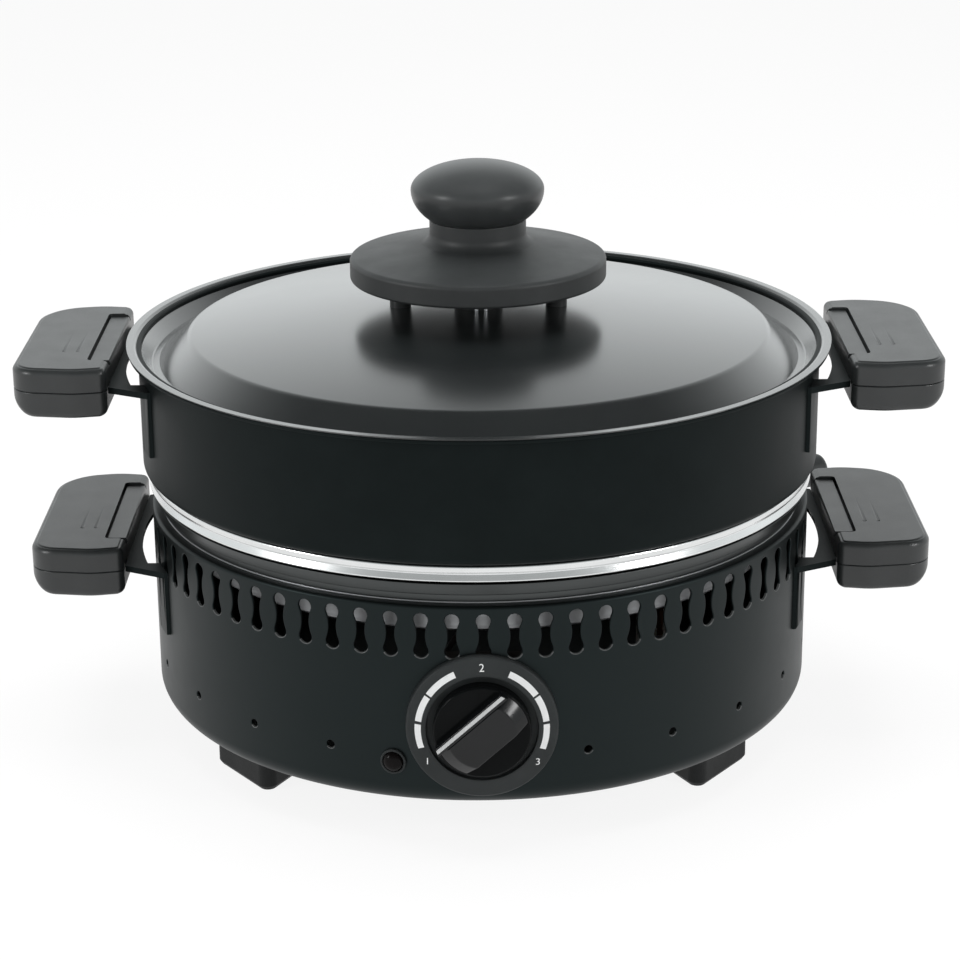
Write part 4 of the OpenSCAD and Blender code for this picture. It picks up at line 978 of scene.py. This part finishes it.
def dial_arc(name, start, end):
    n = max(ARC_PARTS, int(abs(end - start) / ARC_STEP))
    verts, faces = [], []
    for i in range(n + 1):
        t = math.radians(start + (end - start) * i / n)
        for r in (ARC_IN, ARC_OUT):
            for height in (PRINT_SUNK, PRINT_T):
                verts.append((r * math.cos(t), r * math.sin(t), height))
    for i in range(n):
        a, b = 4 * i, 4 * i + 4
        faces += [(a + 1, a + 3, b + 3, b + 1), (a, b, b + 2, a + 2)]
        faces += [(a, a + 1, b + 1, b), (a + 2, b + 2, b + 3, a + 3)]
    faces += [(0, 2, 3, 1), (4 * n, 4 * n + 1, 4 * n + 3, 4 * n + 2)]
    lay_on_dial(name, verts, faces)


def dial_number(name, text, x, y):
    """A plain number, whose letter shape is laid on the bezel's face."""
    data = bpy.data.curves.new(name, "FONT")
    data.body = text
    data.size = NUMBER_SIZE
    data.extrude = PRINT_T / 2
    data.align_x = "CENTER"
    data.align_y = "CENTER"
    letter = bpy.data.objects.new(name + "_curve", data)
    scene.collection.objects.link(letter)
    bpy.context.view_layer.update()
    seen = letter.evaluated_get(bpy.context.evaluated_depsgraph_get())
    mesh = bpy.data.meshes.new_from_object(seen)
    bm = bmesh.new()
    bm.from_mesh(mesh)
    bmesh.ops.remove_doubles(bm, verts=bm.verts, dist=LETTER_WELD)
    bm.verts.index_update()
    verts = [(v.co.x + x, v.co.y + y, v.co.z + PRINT_T / 2) for v in bm.verts]
    faces = [[v.index for v in f.verts] for f in bm.faces]
    bm.free()
    bpy.data.objects.remove(letter)
    bpy.data.curves.remove(data)
    bpy.data.meshes.remove(mesh)
    lay_on_dial(name, verts, faces)


def dial_print():
    for side, arcs in ARCS.items():
        for i, (start, end) in enumerate(arcs):
            dial_arc(f"dial_arc_{side}_{i + 1}", start, end)
    for digit, (x, y) in NUMBERS.items():
        dial_number(f"dial_number_{digit}", digit, x, y)


COLLAR_IN, COLLAR_MID, COLLAR_SEAT, COLLAR_OUT = 4.0, 4.8, 4.6, 5.6
COLLAR_D, COLLAR_SEAT_D = 153.0, 152.3
LENS_R, LENS_BACK_D, LENS_D, LENS_TOP_D, LENS_RISE, LENS_STEPS = 4.4, 152.0, 152.4, 155.2, 2.8, 12


def indicator():
    place = at_wall(LAMP_ANGLE, LAMP_Z)
    lathe("indicator_collar", [
        (COLLAR_IN, ON_WALL, 0), (COLLAR_MID, ON_WALL, 0), (COLLAR_OUT, ON_WALL, 0), (COLLAR_OUT, COLLAR_D, 0.5),
        (COLLAR_SEAT, COLLAR_D, 0.3), (COLLAR_SEAT, COLLAR_SEAT_D, 0.2), (COLLAR_IN, COLLAR_SEAT_D, 0)
    ], "bezel_black", "base", ["indicator_lens"], 5, place)
    line = [(0, LENS_BACK_D, 0), (LENS_R, LENS_BACK_D, 0.1)]
    for i in range(LENS_STEPS):
        t = math.pi * i / (2 * LENS_STEPS)
        line.append((LENS_R * math.cos(t), LENS_D + LENS_RISE * math.sin(t), 0))
    line.append((0, LENS_TOP_D, 0))
    lathe("indicator_dome", line, "lens_red", "base", ["indicator_lens"], 4, place)


# Edges of the solids that stay

WELD, SOFT_ANGLE = 0.000002, 40
BRACKET_EDGE, LEG_EDGE, FOOT_EDGE = 0.35, 0.4, 0.5


def soften(name, width):
    """Rounds the edges of a node with modifiers."""
    node = NODES[name]
    weld = node.modifiers.new("weld", "WELD")
    weld.merge_threshold = WELD
    soft = node.modifiers.new("soft", "BEVEL")
    soft.width = width * MM
    soft.segments = EDGE_SEGMENTS
    soft.limit_method = "ANGLE"
    soft.angle_limit = math.radians(SOFT_ANGLE)
    soft.harden_normals = True


def soften_nodes():
    for side in ("left", "right"):
        soften(f"pan_bracket_{side}", BRACKET_EDGE)
        soften(f"base_bracket_{side}", BRACKET_EDGE)
        soften(f"guard_leg_{side}", LEG_EDGE)
    for i in range(1, 5):
        soften(f"foot_{i}", FOOT_EDGE)


# Floor, room and lamps

WHITE = (1, 1, 1, 1)
FLOOR_SIZE, FLOOR_GLOW = 6.0, 0.88
FLOOR_LOW, FLOOR_HIGH = (0.9, 0.9, 0.9), (0.92, 0.92, 0.92)
ROOM_LIGHT, BEHIND_FROM, BEHIND_TO = 0.55, 0.2, 0.6
ROOM_FRONT = [(0.0, 1.0), (0.22, 1.0), (0.36, 0.66), (0.52, 0.36), (0.8, 0.09), (1.0, 0.05)]
ROOM_BACK = [
    (0.0, 0.7), (0.1, 1.15), (0.19, 1.24), (0.32, 1.14), (0.5, 0.95), (0.6, 0.7), (0.8, 0.25), (1.0, 0.05)
]
ROOM_TINT = (0.96, 0.995, 1.0)


def make_floor():
    """A pale floor that shows nearly white and keeps the shadow."""
    s = FLOOR_SIZE
    mesh = bpy.data.meshes.new("floor")
    mesh.from_pydata([(-s, -s, 0), (s, -s, 0), (s, s, 0), (-s, s, 0)], [], [(0, 1, 2, 3)])
    floor = bpy.data.objects.new("floor", mesh)
    scene.collection.objects.link(floor)
    material = new_material("floor_white", FLOOR_LOW, 0.85)
    mesh.materials.append(material)
    tree = material.node_tree
    shader = tree.nodes["Principled BSDF"]
    cloud = noise(material, object_place(material), scale=3.0, detail=2.0)
    shade = ramp(material, cloud, [(0.3, FLOOR_LOW), (0.7, FLOOR_HIGH)])
    join(material, shade, shader.inputs["Base Color"])
    glow = add_node(material, "Emission", Color=WHITE, Strength=1.0)
    share = add_node(material, "Math")
    share.operation = "MULTIPLY"
    share.inputs[1].default_value = FLOOR_GLOW
    join(material, seen_rays(tree), share.inputs[0])
    surface = mix_shaders(tree, share.outputs[0], shader, glow)
    join(material, surface.outputs[0], tree.nodes["Material Output"].inputs["Surface"])


def seen_rays(tree):
    """1 for camera, glossy and transmission rays, which see the white surroundings."""
    path = tree.nodes.new("ShaderNodeLightPath")
    total = path.outputs["Is Camera Ray"]
    for ray in ("Is Glossy Ray", "Is Transmission Ray"):
        add = tree.nodes.new("ShaderNodeMath")
        add.operation = "MAXIMUM"
        tree.links.new(total, add.inputs[0])
        tree.links.new(path.outputs[ray], add.inputs[1])
        total = add.outputs[0]
    return total


def mix_shaders(tree, factor, one, two):
    mix = tree.nodes.new("ShaderNodeMixShader")
    for i, output in enumerate((factor, one.outputs[0], two.outputs[0])):
        tree.links.new(output, mix.inputs[i])
    return mix


def white_background(tree, level):
    node = tree.nodes.new("ShaderNodeBackground")
    node.inputs[0].default_value = WHITE
    node.inputs[1].default_value = level
    return node


def make_room():
    """Light round the horizon and dim overhead for what reflects it, white for the camera, even for the rest."""
    world = bpy.data.worlds.new("room")
    scene.world = world
    world.use_nodes = True
    tree = world.node_tree
    tree.nodes.clear()
    place = tree.nodes.new("ShaderNodeTexCoord")
    apart = tree.nodes.new("ShaderNodeSeparateXYZ")
    tree.links.new(place.outputs["Generated"], apart.inputs[0])
    sides = []
    for levels in (ROOM_FRONT, ROOM_BACK):
        height = tree.nodes.new("ShaderNodeValToRGB")
        elements = height.color_ramp.elements
        while len(elements) < len(levels):
            elements.new(0.5)
        for element, (position, level) in zip(elements, levels):
            element.position = position
            element.color = (*(level * part for part in ROOM_TINT), 1)
        tree.links.new(apart.outputs[2], height.inputs[0])
        sides.append(height.outputs[0])
    behind = tree.nodes.new("ShaderNodeMapRange")
    behind.inputs["From Min"].default_value = BEHIND_FROM
    behind.inputs["From Max"].default_value = BEHIND_TO
    tree.links.new(apart.outputs[1], behind.inputs["Value"])
    around = tree.nodes.new("ShaderNodeMix")
    around.data_type = "RGBA"
    tree.links.new(behind.outputs[0], around.inputs[0])
    tree.links.new(sides[0], around.inputs[6])
    tree.links.new(sides[1], around.inputs[7])
    seen = tree.nodes.new("ShaderNodeBackground")
    tree.links.new(around.outputs[2], seen.inputs[0])
    room = mix_shaders(tree, seen_rays(tree), white_background(tree, ROOM_LIGHT), seen)
    to_camera = tree.nodes.new("ShaderNodeLightPath").outputs["Is Camera Ray"]
    backdrop = mix_shaders(tree, to_camera, room, white_background(tree, 1.0))
    out = tree.nodes.new("ShaderNodeOutputWorld")
    tree.links.new(backdrop.outputs[0], out.inputs[0])


def lamp(name, place, target, width, height, power):
    data = bpy.data.lights.new(name, "AREA")
    data.shape = "RECTANGLE"
    data.size = width
    data.size_y = height
    data.energy = power
    thing = bpy.data.objects.new(name, data)
    scene.collection.objects.link(thing)
    thing.location = place
    thing.rotation_euler = (Vector(target) - Vector(place)).to_track_quat("-Z", "Y").to_euler()
    thing.visible_camera = False
    return thing


def make_lamps():
    top = lamp("lamp_top", place=(0.0, 0.15, 1.6), target=(0, 0, 0.15), width=1.4, height=1.0, power=26)
    top.visible_glossy = False
    lamp("lamp_left", place=(-1.35, -0.7, 0.72), target=(0, 0, 0.12), width=0.25, height=0.5, power=6)
    lamp("lamp_right", place=(1.28, -0.85, 0.72), target=(0, 0, 0.12), width=0.25, height=0.5, power=6)


make_camera()
dress_nodes()
base_housing()
rim_ring()
reflector_dish()
pan_shell()
lid_shell()
heat_guard()
guard_pins()
lid_knob()
grips()
dial_bezel()
dial_knob()
dial_print()
indicator()
soften_nodes()
make_floor()
make_room()
make_lamps()
